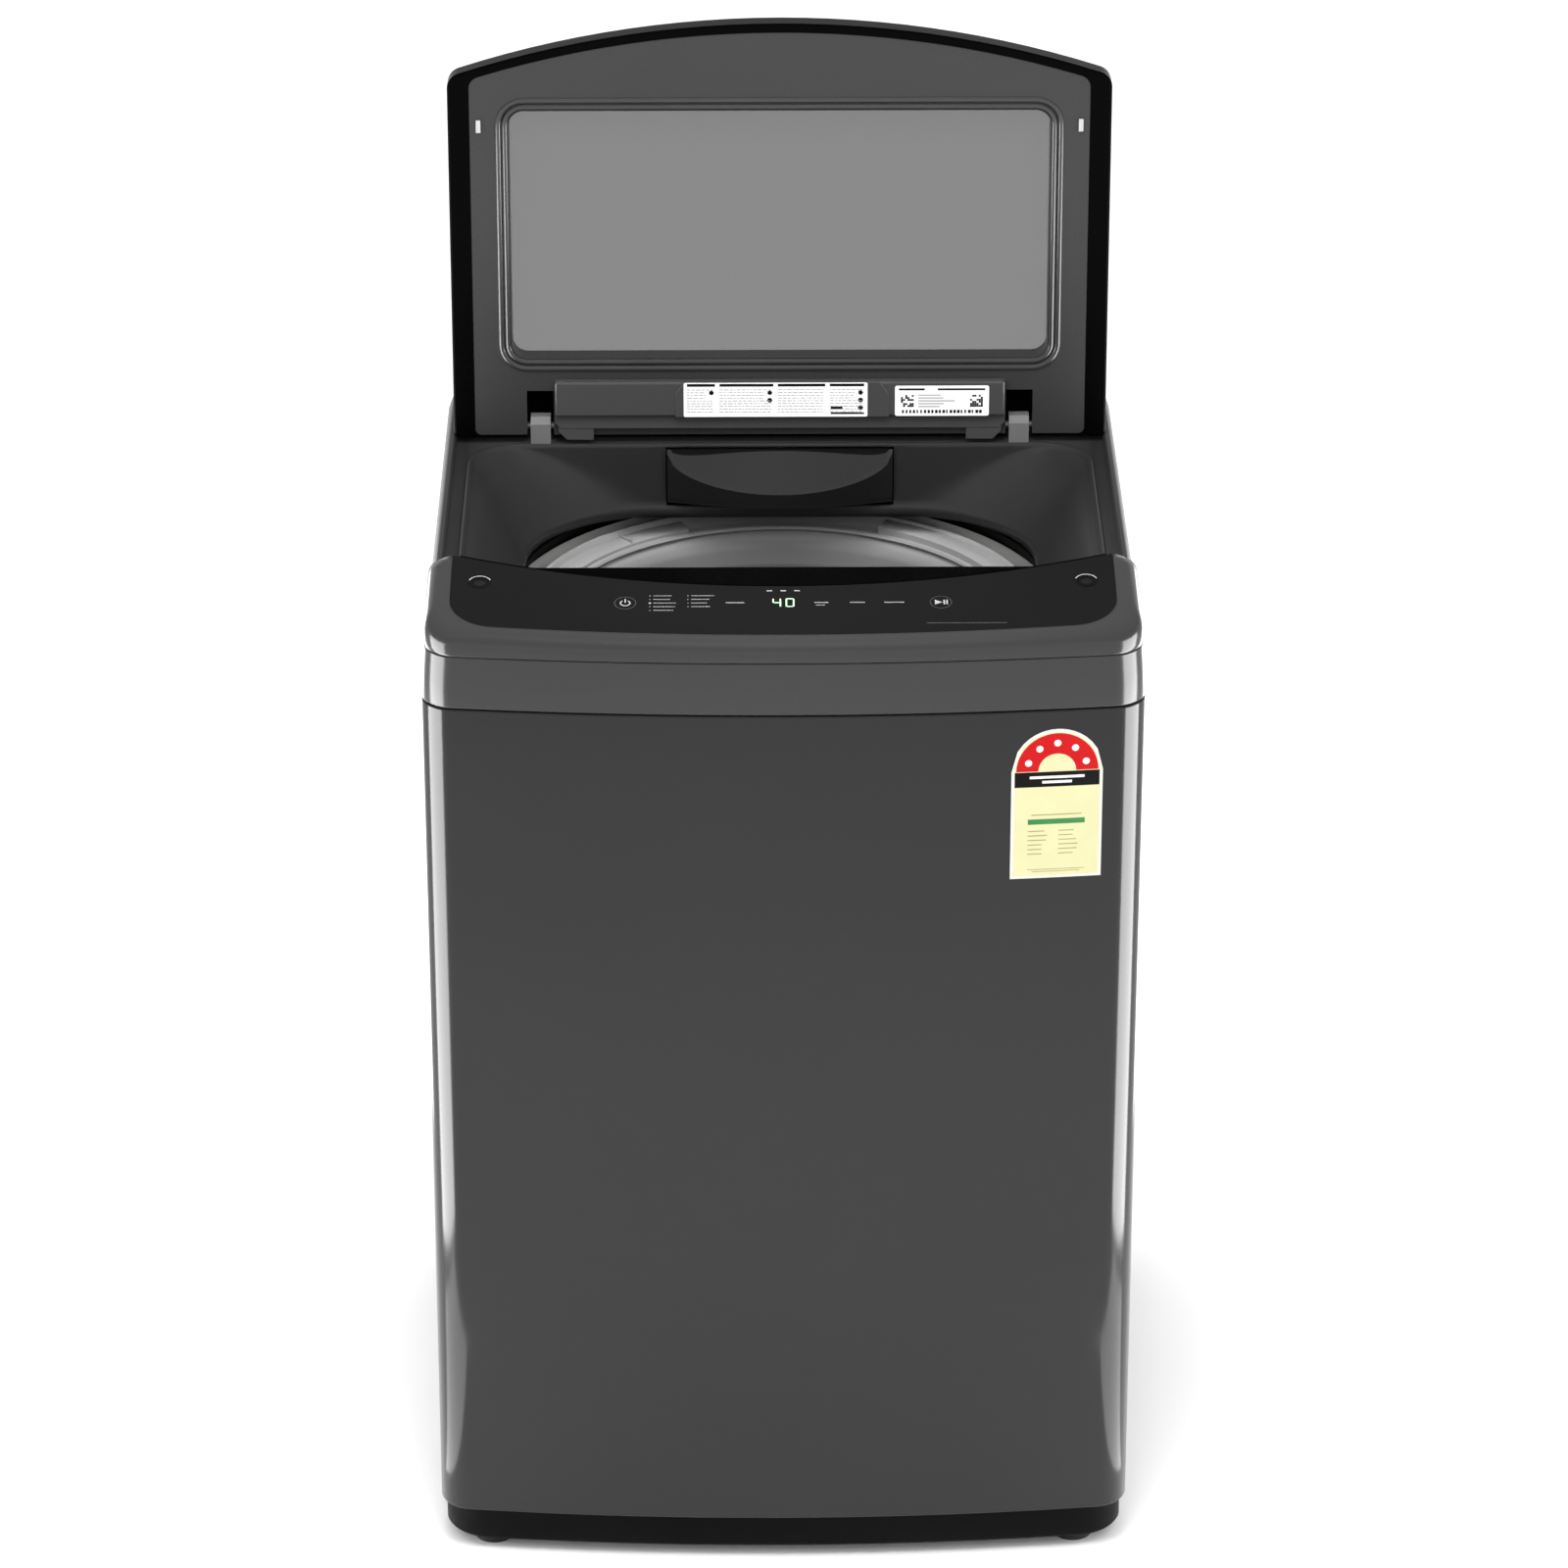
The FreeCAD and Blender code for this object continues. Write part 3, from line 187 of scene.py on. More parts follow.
def plain_material(name, colour, roughness):
    material = bpy.data.materials.new(name)
    material.use_nodes = True
    shader = material.node_tree.nodes["Principled BSDF"]
    shader.inputs["Base Color"].default_value = (*colour, 1)
    shader.inputs["Roughness"].default_value = roughness
    shader.inputs["Specular IOR Level"].default_value = 0.2
    return material


def add_noise(tree, place, scale, detail, stretch=(1, 1, 1)):
    """A noise value over the object, in its own frame, with scale in cycles per metre."""
    mapping = tree.nodes.new("ShaderNodeMapping")
    mapping.inputs["Scale"].default_value = stretch
    noise = tree.nodes.new("ShaderNodeTexNoise")
    noise.inputs["Scale"].default_value = scale
    noise.inputs["Detail"].default_value = detail
    tree.links.new(place.outputs["Object"], mapping.inputs["Vector"])
    tree.links.new(mapping.outputs["Vector"], noise.inputs["Vector"])
    return noise.outputs["Fac"]


def add_range(tree, value, low, high, from_low=0.3, from_high=0.7):
    ramp = tree.nodes.new("ShaderNodeMapRange")
    ramp.inputs["From Min"].default_value = from_low
    ramp.inputs["From Max"].default_value = from_high
    ramp.inputs["To Min"].default_value = low
    ramp.inputs["To Max"].default_value = high
    tree.links.new(value, ramp.inputs["Value"])
    return ramp.outputs["Result"]


def finish(name, dark, light, rough, mottle, grain, depth, specular=0.5, stretch=(1, 1, 1), **sockets):
    """A surface whose colour drifts from dark to light, whose roughness drifts over the rough pair,
    and whose relief is a fine grain of the given depth in metres."""
    material = bpy.data.materials.new(name)
    material.use_nodes = True
    tree = material.node_tree
    shader = tree.nodes["Principled BSDF"]
    place = tree.nodes.new("ShaderNodeTexCoord")
    drift = add_noise(tree, place, mottle, 3, stretch)
    fine = add_noise(tree, place, grain, 2, stretch)
    mix = tree.nodes.new("ShaderNodeMix")
    mix.data_type = "RGBA"
    mix.inputs["A"].default_value = (*dark, 1)
    mix.inputs["B"].default_value = (*light, 1)
    tree.links.new(add_range(tree, drift, 0, 1), mix.inputs["Factor"])
    tree.links.new(mix.outputs["Result"], shader.inputs["Base Color"])
    tree.links.new(add_range(tree, fine, rough[0], rough[1]), shader.inputs["Roughness"])
    bump = tree.nodes.new("ShaderNodeBump")
    bump.inputs["Strength"].default_value = 1
    bump.inputs["Distance"].default_value = depth
    tree.links.new(fine, bump.inputs["Height"])
    tree.links.new(bump.outputs["Normal"], shader.inputs["Normal"])
    shader.inputs["Specular IOR Level"].default_value = specular
    for key, value in sockets.items():
        shader.inputs[key.replace("_", " ")].default_value = value
    return material


def grey(value):
    return (value, value, value)


def add_flakes(material, low, high):
    """Metallic flakes in the paint: tiny cells that differ in lightness."""
    tree = material.node_tree
    shader = tree.nodes["Principled BSDF"]
    place = tree.nodes.new("ShaderNodeTexCoord")
    cells = tree.nodes.new("ShaderNodeTexVoronoi")
    cells.inputs["Scale"].default_value = 1400
    tree.links.new(place.outputs["Object"], cells.inputs["Vector"])
    bright = tree.nodes.new("ShaderNodeMapRange")
    bright.inputs["To Min"].default_value = low
    bright.inputs["To Max"].default_value = high
    split = tree.nodes.new("ShaderNodeSeparateColor")
    tree.links.new(cells.outputs["Color"], split.inputs["Color"])
    tree.links.new(split.outputs["Red"], bright.inputs["Value"])
    source = shader.inputs["Base Color"].links[0].from_socket
    product = tree.nodes.new("ShaderNodeMix")
    product.data_type = "RGBA"
    product.blend_type = "MULTIPLY"
    product.inputs["Factor"].default_value = 1
    tree.links.new(source, product.inputs["A"])
    tree.links.new(bright.outputs["Result"], product.inputs["B"])
    tree.links.new(product.outputs["Result"], shader.inputs["Base Color"])
    return material


FINISHES = (
    ("shell_paint", grey(0.0155), grey(0.0165), (0.13, 0.16), 5, 420, 0.000002, 0.3),
    ("cover_plastic", grey(0.028), grey(0.030), (0.17, 0.2), 5, 420, 0.000002, 0.3),
    ("bowl_plastic", grey(0.016), grey(0.019), (0.34, 0.42), 7, 1500, 0.000012, 0.35),
    ("gloss_black", grey(0.0010), grey(0.0016), (0.08, 0.12), 4, 300, 0.000002, 0.10),
    ("black_plastic", grey(0.002), grey(0.0035), (0.4, 0.5), 9, 1600, 0.00002, 0.05),
    ("lid_grey", grey(0.023), grey(0.025), (0.26, 0.34), 6, 1700, 0.000012, 0.3),
    ("grey_plastic", grey(0.23), grey(0.26), (0.2, 0.28), 8, 1500, 0.00001),
    ("white_plastic", (0.62, 0.62, 0.6), (0.7, 0.7, 0.68), (0.38, 0.5), 8, 1500, 0.00002),
    ("rubber_black", grey(0.005), grey(0.008), (0.5, 0.65), 20, 1800, 0.00003, 0.25),
    ("board_green", (0.01, 0.07, 0.025), (0.02, 0.11, 0.04), (0.3, 0.45), 90, 900, 0.00003),
    ("sticker", (0.60, 0.59, 0.56), (0.64, 0.63, 0.60), (0.3, 0.4), 30, 900, 0.000005, 0.06),
    ("label_white", grey(0.76), grey(0.80), (0.32, 0.45), 30, 900, 0.000005, 0.06),
)
MATERIALS = {row[0]: finish(*row) for row in FINISHES}
MATERIALS["smoked_glass"] = finish(
    "smoked_glass", grey(0.02), grey(0.022), (0.02, 0.04), 4, 200, 0.000001, 0.03, Alpha=0.58)
MATERIALS["stainless"] = finish(
    "stainless", grey(0.5), grey(0.62), (0.2, 0.34), 4, 260, 0.00001, stretch=(0.12, 0.12, 9), Metallic=1.0)
MATERIALS["zinc_steel"] = finish(
    "zinc_steel", (0.30, 0.31, 0.32), (0.37, 0.38, 0.39), (0.34, 0.44), 60, 700, 0.00001, Metallic=1.0)
MATERIALS["cast_alloy"] = finish(
    "cast_alloy", grey(0.34), grey(0.46), (0.42, 0.6), 60, 900, 0.0001, Metallic=1.0)
MATERIALS["copper_coils"] = finish(
    "copper_coils", (0.25, 0.09, 0.03), (0.42, 0.17, 0.06), (0.3, 0.45), 30, 500, 0.0001,
    stretch=(1, 1, 14), Metallic=0.8)
for paint in ("shell_paint", "cover_plastic"):
    add_flakes(MATERIALS[paint], 0.96, 1.04)

# The carrier's ledge behind the panel: black plastic made near-black and almost unreflective, partly its own
# colour and partly painted deep shade.
LEDGE_BLACK_AND_SHADE = finish("ledge_black_and_shade", grey(0.0002), grey(0.0004), (0.2, 0.3), 8, 1500, 0.000004, 0.02)
PANEL_GLOSS = finish("panel_gloss", grey(0.0045), grey(0.0055), (0.08, 0.12), 4, 300, 0.000002, 0.10)
RIM_GLOSS = finish("rim_gloss", grey(0.0006), grey(0.0010), (0.22, 0.28), 4, 300, 0.000002, 0.3, IOR=1.12)
# Lit and shaded copies of the drawer's one plastic: a darker copy is painted shade on its upright face, and a
# lighter copy is painted light on its up-facing scoop.
DRAWER_PAINTED_SHADE = finish("drawer_painted_shade", grey(0.006), grey(0.008), (0.26, 0.34), 7, 1500, 0.000012, 0.3)
SCOOP_PAINTED_LIGHT = finish("scoop_painted_light", grey(0.017), grey(0.020), (0.26, 0.34), 7, 1500, 0.000012, 0.3)
SHOULDER_PAINT = finish("shoulder_paint", grey(0.014), grey(0.016), (0.3, 0.34), 5, 420, 0.000002, 0.06)
PAD_GREY = finish("pad_grey", grey(0.34), grey(0.38), (0.5, 0.6), 20, 1800, 0.00002)
COVER_GREY = finish("hinge_cover_grey", grey(0.040), grey(0.044), (0.2, 0.28), 6, 1700, 0.000008, 0.4)
BEAD_GLOSS = finish("bead_gloss", grey(0.026), grey(0.029), (0.2, 0.24), 6, 1700, 0.000004)
HINGE_ARM = finish("hinge_arm", grey(0.10), grey(0.112), (0.34, 0.44), 20, 1700, 0.000012)


def ink(name, dark, light, **sockets):
    return finish(name, dark, light, (0.35, 0.45), 40, 900, 0.000004, 0.06, **sockets)


PRINTS = {
    "cream": ink("print_cream", (0.57, 0.55, 0.32), (0.60, 0.58, 0.34)),
    "red": ink("print_red", (0.44, 0.007, 0.009), (0.48, 0.009, 0.011)),
    "green": ink("print_green", (0.04, 0.18, 0.06), (0.05, 0.22, 0.07)),
    "black": ink("print_black", grey(0.003), grey(0.005)),
    "grey": ink("print_grey", grey(0.30), grey(0.36)),
    "olive": ink("print_olive", (0.28, 0.26, 0.12), (0.34, 0.32, 0.16)),
    "panel_light": ink("panel_print", grey(0.25), grey(0.30)),
    "panel_dim": ink("panel_print_dim", grey(0.05), grey(0.06)),
    "digits": ink("digit_glow", (0.35, 0.62, 0.38), (0.4, 0.7, 0.44),
                  Emission_Color=(0.45, 0.9, 0.5, 1), Emission_Strength=0.4),
}


def paint_nodes():
    for part in frame["record"]["subparts"]:
        mesh = nodes[part["node"]].data
        mesh.materials.clear()
        mesh.materials.append(MATERIALS[part["material_slot"]])
    # The carrier takes the ledge finish: black plastic with painted deep shade.
    own = {"lid_pads": PAD_GREY, "hinge_bracket_left": HINGE_ARM, "hinge_bracket_right": HINGE_ARM,
           "panel_carrier": LEDGE_BLACK_AND_SHADE, "control_panel": PANEL_GLOSS, "lid_frame": RIM_GLOSS}
    for name, material in own.items():
        nodes[name].data.materials[0] = material


# ---------------------------------------------------------------- mesh helpers (millimetres)

def make_piece(name, points, faces, body, slot, material=None, replaces=(), sharp=35, merge=0.001):
    """A mesh piece from points in millimetres, shaded smooth but for edges sharper than sharp degrees.
    Its material is its slot's unless another is given."""
    mesh = bpy.data.meshes.new(name)
    mesh.from_pydata([Vector(point) * MM for point in points], [], faces)
    shape = bmesh.new()
    shape.from_mesh(mesh)
    bmesh.ops.remove_doubles(shape, verts=shape.verts, dist=merge * MM)
    bmesh.ops.recalc_face_normals(shape, faces=shape.faces)
    shape.to_mesh(mesh)
    shape.free()
    mesh.shade_smooth()
    mesh.set_sharp_from_angle(angle=math.radians(sharp))
    mesh.materials.append(material or MATERIALS[slot])
    piece = bpy.data.objects.new(name, mesh)
    scene.collection.objects.link(piece)
    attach(piece, body)
    if replaces:
        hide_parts(*replaces)
    return piece


def add_material(piece, material):
    """Add a material to a piece and give its index."""
    piece.data.materials.append(material)
    return len(piece.data.materials) - 1


def cut_faces(piece, is_hidden):
    """Delete the faces whose centre, in metres, is_hidden picks out."""
    shape = bmesh.new()
    shape.from_mesh(piece.data)
    hidden = [face for face in shape.faces if is_hidden(face.calc_center_median())]
    bmesh.ops.delete(shape, geom=hidden, context="FACES")
    shape.to_mesh(piece.data)
    shape.free()


def thicken(piece, thickness, offset=-1):
    """Give a sheet its wall, in millimetres."""
    wall = piece.modifiers.new("wall", "SOLIDIFY")
    wall.thickness = thickness * MM
    wall.offset = offset
    wall.use_even_offset = True
    return piece


def soften(piece, width, angle=40, segments=2):
    """Round the sharp edges of a piece, in millimetres."""
    bevel = piece.modifiers.new("soft_edges", "BEVEL")
    bevel.width = width * MM
    bevel.segments = segments
    bevel.limit_method = "ANGLE"
    bevel.angle_limit = math.radians(angle)
    bevel.harden_normals = True
    return piece


def strip_faces(rows, count, closed):
    """Quads between consecutive rows of count points each; closed joins each row's ends."""
    faces = []
    span = count if closed else count - 1
    for row in range(rows - 1):
        for i in range(span):
            j = (i + 1) % count
            faces.append((row * count + i, row * count + j, (row + 1) * count + j, (row + 1) * count + i))
    return faces


def loft(name, loops, body, slot, closed=True, cap_first=False, cap_last=False, **options):
    count = len(loops[0])
    points = [point for loop in loops for point in loop]
    faces = strip_faces(len(loops), count, closed)
    if cap_first:
        faces.append(tuple(range(count)))
    if cap_last:
        start = (len(loops) - 1) * count
        faces.append(tuple(range(start, start + count)))
    return make_piece(name, points, faces, body, slot, **options)


def revolve(name, profile, body, slot, steps=128, closed_profile=True, **options):
    """A body of revolution about Z from (radius, height) pairs."""
    loops = []
    rows = list(profile) + ([profile[0]] if closed_profile else [])
    for radius, height in rows:
        loops.append([(radius * math.cos(2 * math.pi * i / steps), radius * math.sin(2 * math.pi * i / steps),
                       height) for i in range(steps)])
    return loft(name, loops, body, slot, **options)


def arc_points(centre, radius, begin, end, steps):
    return [(centre[0] + radius * math.cos(begin + (end - begin) * i / steps),
             centre[1] + radius * math.sin(begin + (end - begin) * i / steps)) for i in range(steps + 1)]


def line_points(start, end, steps):
    return [(start[0] + (end[0] - start[0]) * i / steps, start[1] + (end[1] - start[1]) * i / steps)
            for i in range(1, steps)]


def outline(side, front, rear, front_corner, rear_corner, bow=None, gate=None):
    """Matched plan points, anticlockwise from the right front corner. Every outline has the same
    count, so that two of them loft without a twist. gate puts points of the rear edge at +-gate."""
    rf, rr = front_corner, rear_corner
    if bow is None:
        corner_y = front + rf
        touch = math.pi / 2
    else:
        bow_y = front + bow
        corner_y = bow_y - math.sqrt((bow - rf) ** 2 - (side - rf) ** 2)
        touch = math.atan2(bow_y - corner_y, side - rf)
    right_front = arc_points((side - rf, corner_y), rf, -touch, 0, 10)
    right_rear = arc_points((side - rr, rear - rr), rr, 0, math.pi / 2, 10)
    left_rear = arc_points((rr - side, rear - rr), rr, math.pi / 2, math.pi, 10)
    left_front = arc_points((rf - side, corner_y), rf, math.pi, math.pi + touch, 10)
    limit = side - rr
    gate = gate or limit / 3
    rear_edge = line_points((limit, rear), (gate, rear), 6) + [(gate, rear)]
    rear_edge += line_points((gate, rear), (-gate, rear), 12) + [(-gate, rear)]
    rear_edge += line_points((-gate, rear), (-limit, rear), 6)
    if bow is None:
        front_edge = line_points(left_front[-1], right_front[0], 24)
    else:
        front_edge = arc_points((0, bow_y), bow, math.pi + touch, 2 * math.pi - touch, 24)[1:-1]
    return (right_front + line_points(right_front[-1], right_rear[0], 12) + right_rear + rear_edge
            + left_rear + line_points(left_rear[-1], left_front[0], 12) + left_front + front_edge)


def at_height(plan, level):
    return [(x, y, level) for x, y in plan]


# ---------------------------------------------------------------- cabinet

def shell_plan(inset):
    return outline(cabinet.right - inset, CABINET_FRONT + inset, CABINET_REAR - inset,
                   FRONT_CORNER - inset, REAR_CORNER - min(inset, 6), FRONT_BOW - inset)


def make_cabinet():
    low, high = cabinet.bottom, cabinet.top
    wall = 1.2
    loops = [
        at_height(shell_plan(14), low + 1.5),
        at_height(shell_plan(1.4), low + 0.2),
        at_height(shell_plan(0.4), low + 0.7),
        at_height(shell_plan(0), low + 1.8),
        at_height(shell_plan(0), (low + high) / 2),
        at_height(shell_plan(0), high - 2.2),
        at_height(shell_plan(0.45), high - 1.0),
        at_height(shell_plan(1.5), high - 0.4),
        at_height(shell_plan(12), high - 1.0),
        at_height(shell_plan(12), high - 2.2),
        at_height(shell_plan(wall + 1.4), high - 2.2),
        at_height(shell_plan(wall), high - 4),
        at_height(shell_plan(wall), low + 4),
        at_height(shell_plan(14), low + 3),
    ]
    shell = loft("cabinet_skin", loops, "root", "shell_paint", sharp=50)
    open_back(shell)
    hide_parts("cabinet_shell")
    plan_low = outline(plinth.right - 4, plinth_front() + 4, plinth.rear - 12, 42, 12, FRONT_BOW)
    plan = outline(plinth.right, plinth_front(), plinth.rear - 8, 42, 12, FRONT_BOW)
    plan_in = outline(plinth.right - 70, plinth_front() + 70, plinth.rear - 78, 40, 40)
    low, high = plinth.bottom, plinth.top
    rise = [plan_in, plan_low, blend_flat(plan_low, plan, 0.6), plan, plan, plan, plan, plan_in]
    levels = [low, low, low + 1.2, low + 4, low + 18, high - 4, high, high]
    loops = [at_height(p, z) for p, z in zip(rise, levels)]
    loops.append(loops[0])
    base = loft("plinth_skin", loops, "root", "black_plastic", replaces=["base_frame"], sharp=50)
    return shell, base


def plinth_front():
    return CABINET_FRONT + 9


def blend_flat(first, second, share):
    return [(a[0] + (b[0] - a[0]) * share, a[1] + (b[1] - a[1]) * share) for a, b in zip(first, second)]


def open_back(shell):
    """Take the middle of the rear wall away, where the rear panel sits."""
    edge = (cabinet.right - 24) * MM - 0.012
    cut_faces(shell, lambda centre: centre.y > (CABINET_REAR - 14) * MM and abs(centre.x) < edge)


# ---------------------------------------------------------------- top cover and bezel

SEAM = cabinet.top
CREASE = bezel.bottom
RAIL = cover.top
MOUTH = dict(side=285.5, front=-130, rear=168, front_corner=30, rear_corner=46)
OPENING = dict(side=237, front=-172, rear=168, front_corner=120, rear_corner=120)
DRAWER_GATE = drawer.right + 1


def panel_point(x, rise, lift=0.0):
    """A point on the control panel's plane: rise up its slope from the front edge, lift off it."""
    y = PANEL_FRONT + rise * math.cos(PANEL_SLOPE) - lift * math.sin(PANEL_SLOPE)
    return (x, y, PANEL_FRONT_LEVEL + rise * math.sin(PANEL_SLOPE) + lift * math.cos(PANEL_SLOPE))


def arc_depth(x):
    """Where the console's rear arc crosses a given x."""
    return ARC_CENTRE - math.sqrt(PANEL_REAR_RADIUS ** 2 - x ** 2)


def front_path(side, front, corner, end):
    """Plan points from the right rear end round the bowed front to the left rear end."""
    bow_y = front + FRONT_BOW
    corner_y = bow_y - math.sqrt((FRONT_BOW - corner) ** 2 - (side - corner) ** 2)
    touch = math.atan2(bow_y - corner_y, side - corner)
    right = [(side, end)] + line_points((side, end), (side, corner_y), 10)
    right += arc_points((side - corner, corner_y), corner, 0, -touch, 12)
    middle = arc_points((0, bow_y), FRONT_BOW, 2 * math.pi - touch, math.pi + touch, 24)[1:-1]
    return right + middle + [(-x, y) for x, y in reversed(right)]


def rear_path(side, rear, corner, start, gate=DRAWER_GATE):
    """Plan points from the right front end round the rear to the left front end."""
    right = [(side, start)] + line_points((side, start), (side, rear - corner), 14)
    right += arc_points((side - corner, rear - corner), corner, 0, math.pi / 2, 10)
    right += line_points((side - corner, rear), (gate, rear), 6) + [(gate, rear)]
    return right + line_points((gate, rear), (-gate, rear), 12) + [(-x, y) for x, y in reversed(right)]


def round_ends(line, inner_side):
    """The bezel's rear corners fall away outside the panel."""
    reach, made = 7, []
    for x, y, z in line:
        near = min(1, max(0, arc_depth(min(abs(x), bezel.right)) - y) / reach)
        share = min(1, max(0, abs(x) - inner_side) / (bezel.right - inner_side))
        made.append((x, y, z - (z - CREASE) * share * 0.2 * (1 - math.sqrt(1 - (1 - near) ** 2))))
    return made


def make_bezel():
    outer = front_path(bezel.right, BEZEL_FRONT, FRONT_CORNER, arc_depth(bezel.right))
    inner_side = panel.right + 0.35
    slope_end = (arc_depth(inner_side) - PANEL_FRONT) / math.cos(PANEL_SLOPE)
    inner = [panel_point(x, rise) for x, rise in front_path(inner_side, -0.35, 42, slope_end)]
    lip = [panel_point(x, rise, -3) for x, rise in front_path(inner_side, -0.35, 42, slope_end)]
    toe = front_path(bezel.right - 1.2, BEZEL_FRONT + 1.2, FRONT_CORNER - 1.2, arc_depth(bezel.right))
    rows = [at_height(toe, CREASE + 0.2), at_height(outer, CREASE + 0.9)]

    def shoulder(turn):
        """One line of the rounded shoulder between the crease and the panel's edge."""
        line = []
        for (x, y), goal in zip(outer, inner):
            rise = goal[2] - CREASE
            round_up = min(21, rise * 0.94)
            share = 0.95 * (1 - math.cos(turn)) ** 1.3
            level = CREASE + rise - round_up * (1 - math.sin(turn))
            line.append((x + (goal[0] - x) * share, y + (goal[1] - y) * share, level + 0.1))
        return line

    rows += [shoulder(math.pi / 2 * i / 12) for i in range(13)]
    rows += [inner, lip]
    rows = [round_ends(line, inner_side) for line in rows]
    piece = loft("bezel_skin", rows, "root", "cover_plastic", closed=False,
                 replaces=["front_bezel"], sharp=60)
    return thicken(piece, 2.2)


def cover_plan(share, inset):
    side_in, front_in = 3.5 * share + inset, 2.5 * share + inset
    return outline(cabinet.right - side_in, CABINET_FRONT + front_in, CABINET_REAR - 1 - inset,
                   FRONT_CORNER - inset, REAR_CORNER - min(inset, 6), FRONT_BOW - inset)


def make_skirt():
    """The cover's painted band between the seam and the crease."""
    steps = [(0, 9, SEAM + 1.6), (0, 1.6, SEAM + 0.6), (0, 0.5, SEAM + 1.2), (0, 0, SEAM + 2.4),
             (0.5, 0, (SEAM + CREASE) / 2), (0.97, 0, CREASE - 1.6), (1, 0.1, CREASE - 0.5),
             (1, 0.7, CREASE - 0.1), (1, 4, CREASE - 0.1), (1, 4, CREASE - 3), (0.5, 3, (SEAM + CREASE) / 2),
             (0, 9, SEAM + 4), (0, 9, SEAM + 1.6)]
    loops = [at_height(cover_plan(share, inset), level) for share, inset, level in steps]
    loft("cover_skirt", loops, "root", "cover_plastic", replaces=["top_cover"], sharp=60)


def make_deck():
    """Behind the console: the shoulders, the rails that the lid lies between, and the deck."""
    start = arc_depth(308) + 0.6
    rail_side, rail_rear = 305, 287
    steps = [(312.5, 296.5, 9, CREASE - 0.1), (312.4, 296.4, 9, CREASE + 1.0),
             (309.4, 292, 9, RAIL - 7.5), (307.6, 290, 9, RAIL - 2.6), (306.4, 288.6, 9, RAIL - 0.8),
             (rail_side - 0.6, rail_rear, 9, RAIL - 0.05), (rail_side - 3.0, rail_rear - 3, 8, RAIL - 0.1),
             (300.9, rail_rear - 4.4, 8, RAIL - 1.0), (300.5, rail_rear - 5, 8, DECK_LEVEL + 1.2),
             (299.6, rail_rear - 6, 8, DECK_LEVEL + 0.2), (288, 171, 47, DECK_LEVEL + 0.1)]
    rows = [at_height(rear_path(side, rear, corner, start), level) for side, rear, corner, level in steps]
    piece = loft("cover_deck", rows, "root", "bowl_plastic", closed=False,
                 replaces=["top_cover"], sharp=60)
    rim = add_material(piece, SHOULDER_PAINT)
    for face in piece.data.polygons:
        if face.center.z > (DECK_LEVEL + 1) * MM and abs(face.center.x) > 0.3045 or face.center.y > 0.2872:
            face.material_index = rim
    thicken(piece, 2)


def bowl_plan(shape, inset):
    """The mouth's or the opening's outline, moved inwards; the rear edge stays at the drawer's plane."""
    corner = shape["rear_corner"] - inset
    return outline(shape["side"] - inset, shape["front"] + inset, shape["rear"] - inset,
                   shape["front_corner"] - inset, corner, gate=DRAWER_GATE)


def make_bowl():
    high, low = DECK_LEVEL, cover.bottom + 3
    loops = [at_height(bowl_plan(MOUTH, inset), high + lift)
             for inset, lift in ((-3.2, 0.1), (-2.6, 0.9), (-1.2, 1.2), (0.2, 0.9), (1.2, -0.2), (2.0, -2.2))]
    mouth = bowl_plan(MOUTH, 2.0)
    opening = bowl_plan(OPENING, 0)
    steps = 14
    for i in range(1, steps + 1):
        share = i / steps
        plan = blend_flat(mouth, opening, share ** 0.92)
        loops.append(at_height(plan, high - 2.2 - (high - 2.2 - low) * share ** 1.28))
    for inset, level in ((0.9, low - 1.0), (1.8, low - 2.4), (2.2, low - 4), (2.4, low - 11.5)):
        loops.append(at_height(bowl_plan(OPENING, inset), level))
    piece = loft("bowl_liner", loops, "root", "bowl_plastic", replaces=["top_cover"], sharp=70)
    low, high = (drawer.bottom - 3) * MM, (DECK_LEVEL - 2) * MM
    cut_faces(piece, lambda centre: abs(centre.x) < DRAWER_GATE * MM and centre.y > 0.16
              and low < centre.z < high)
    thicken(piece, 2)


# ---------------------------------------------------------------- dispenser drawer

def make_drawer_front():
    """A bowed front with a finger scoop: above a drooping arc the face leans back. The upright face takes a darker
    copy of the plastic as painted shade, and the leaning scoop takes a lighter copy as painted light.
    """
    radius = 380
    low, high, half = drawer.bottom, drawer.top, drawer.right - 0.2
    centre = drawer.front + radius
    columns = 40
    scoop_drop = 36
    scoop_lean = 0.5
    points = []
    rows_low, rows_high = 8, 10
    for i in range(columns + 1):
        x = -half + 2 * half * i / columns
        face_y = centre - math.sqrt(radius ** 2 - x ** 2)
        curve = high - 3 - scoop_drop * math.sqrt(max(0, 1 - (x / half) ** 2))
        curve = min(curve, high - 3)
        column = [(x, face_y + 1.4, low), (x, face_y + 0.4, low + 0.4)]
        column += [(x, face_y, low + 1.5 + (curve - low - 1.5) * j / rows_low) for j in range(rows_low + 1)]
        for j in range(1, rows_high + 1):
            level = curve + (high - 0.8 - curve) * j / rows_high
            column.append((x, face_y + (level - curve) * scoop_lean + 0.4, level))
        top_y = column[-1][1]
        column += [(x, top_y + 1.0, high), (x, drawer.rear - 0.2, high), (x, drawer.rear - 0.2, low)]
        points.append(column)
    piece = loft("drawer_face", [column + [column[0]] for column in points], "drawer",
                 "bowl_plastic", closed=False, cap_first=True, cap_last=True,
                 material=DRAWER_PAINTED_SHADE, replaces=["drawer_front"], sharp=28)
    scoop = add_material(piece, SCOOP_PAINTED_LIGHT)
    # Faces tilted up take the lighter copy: painted light on the scoop.
    for face in piece.data.polygons:
        if abs(face.normal.z) > 0.2 and abs(face.normal.y) > 0.3:
            face.material_index = scoop
    return piece


# ---------------------------------------------------------------- lid

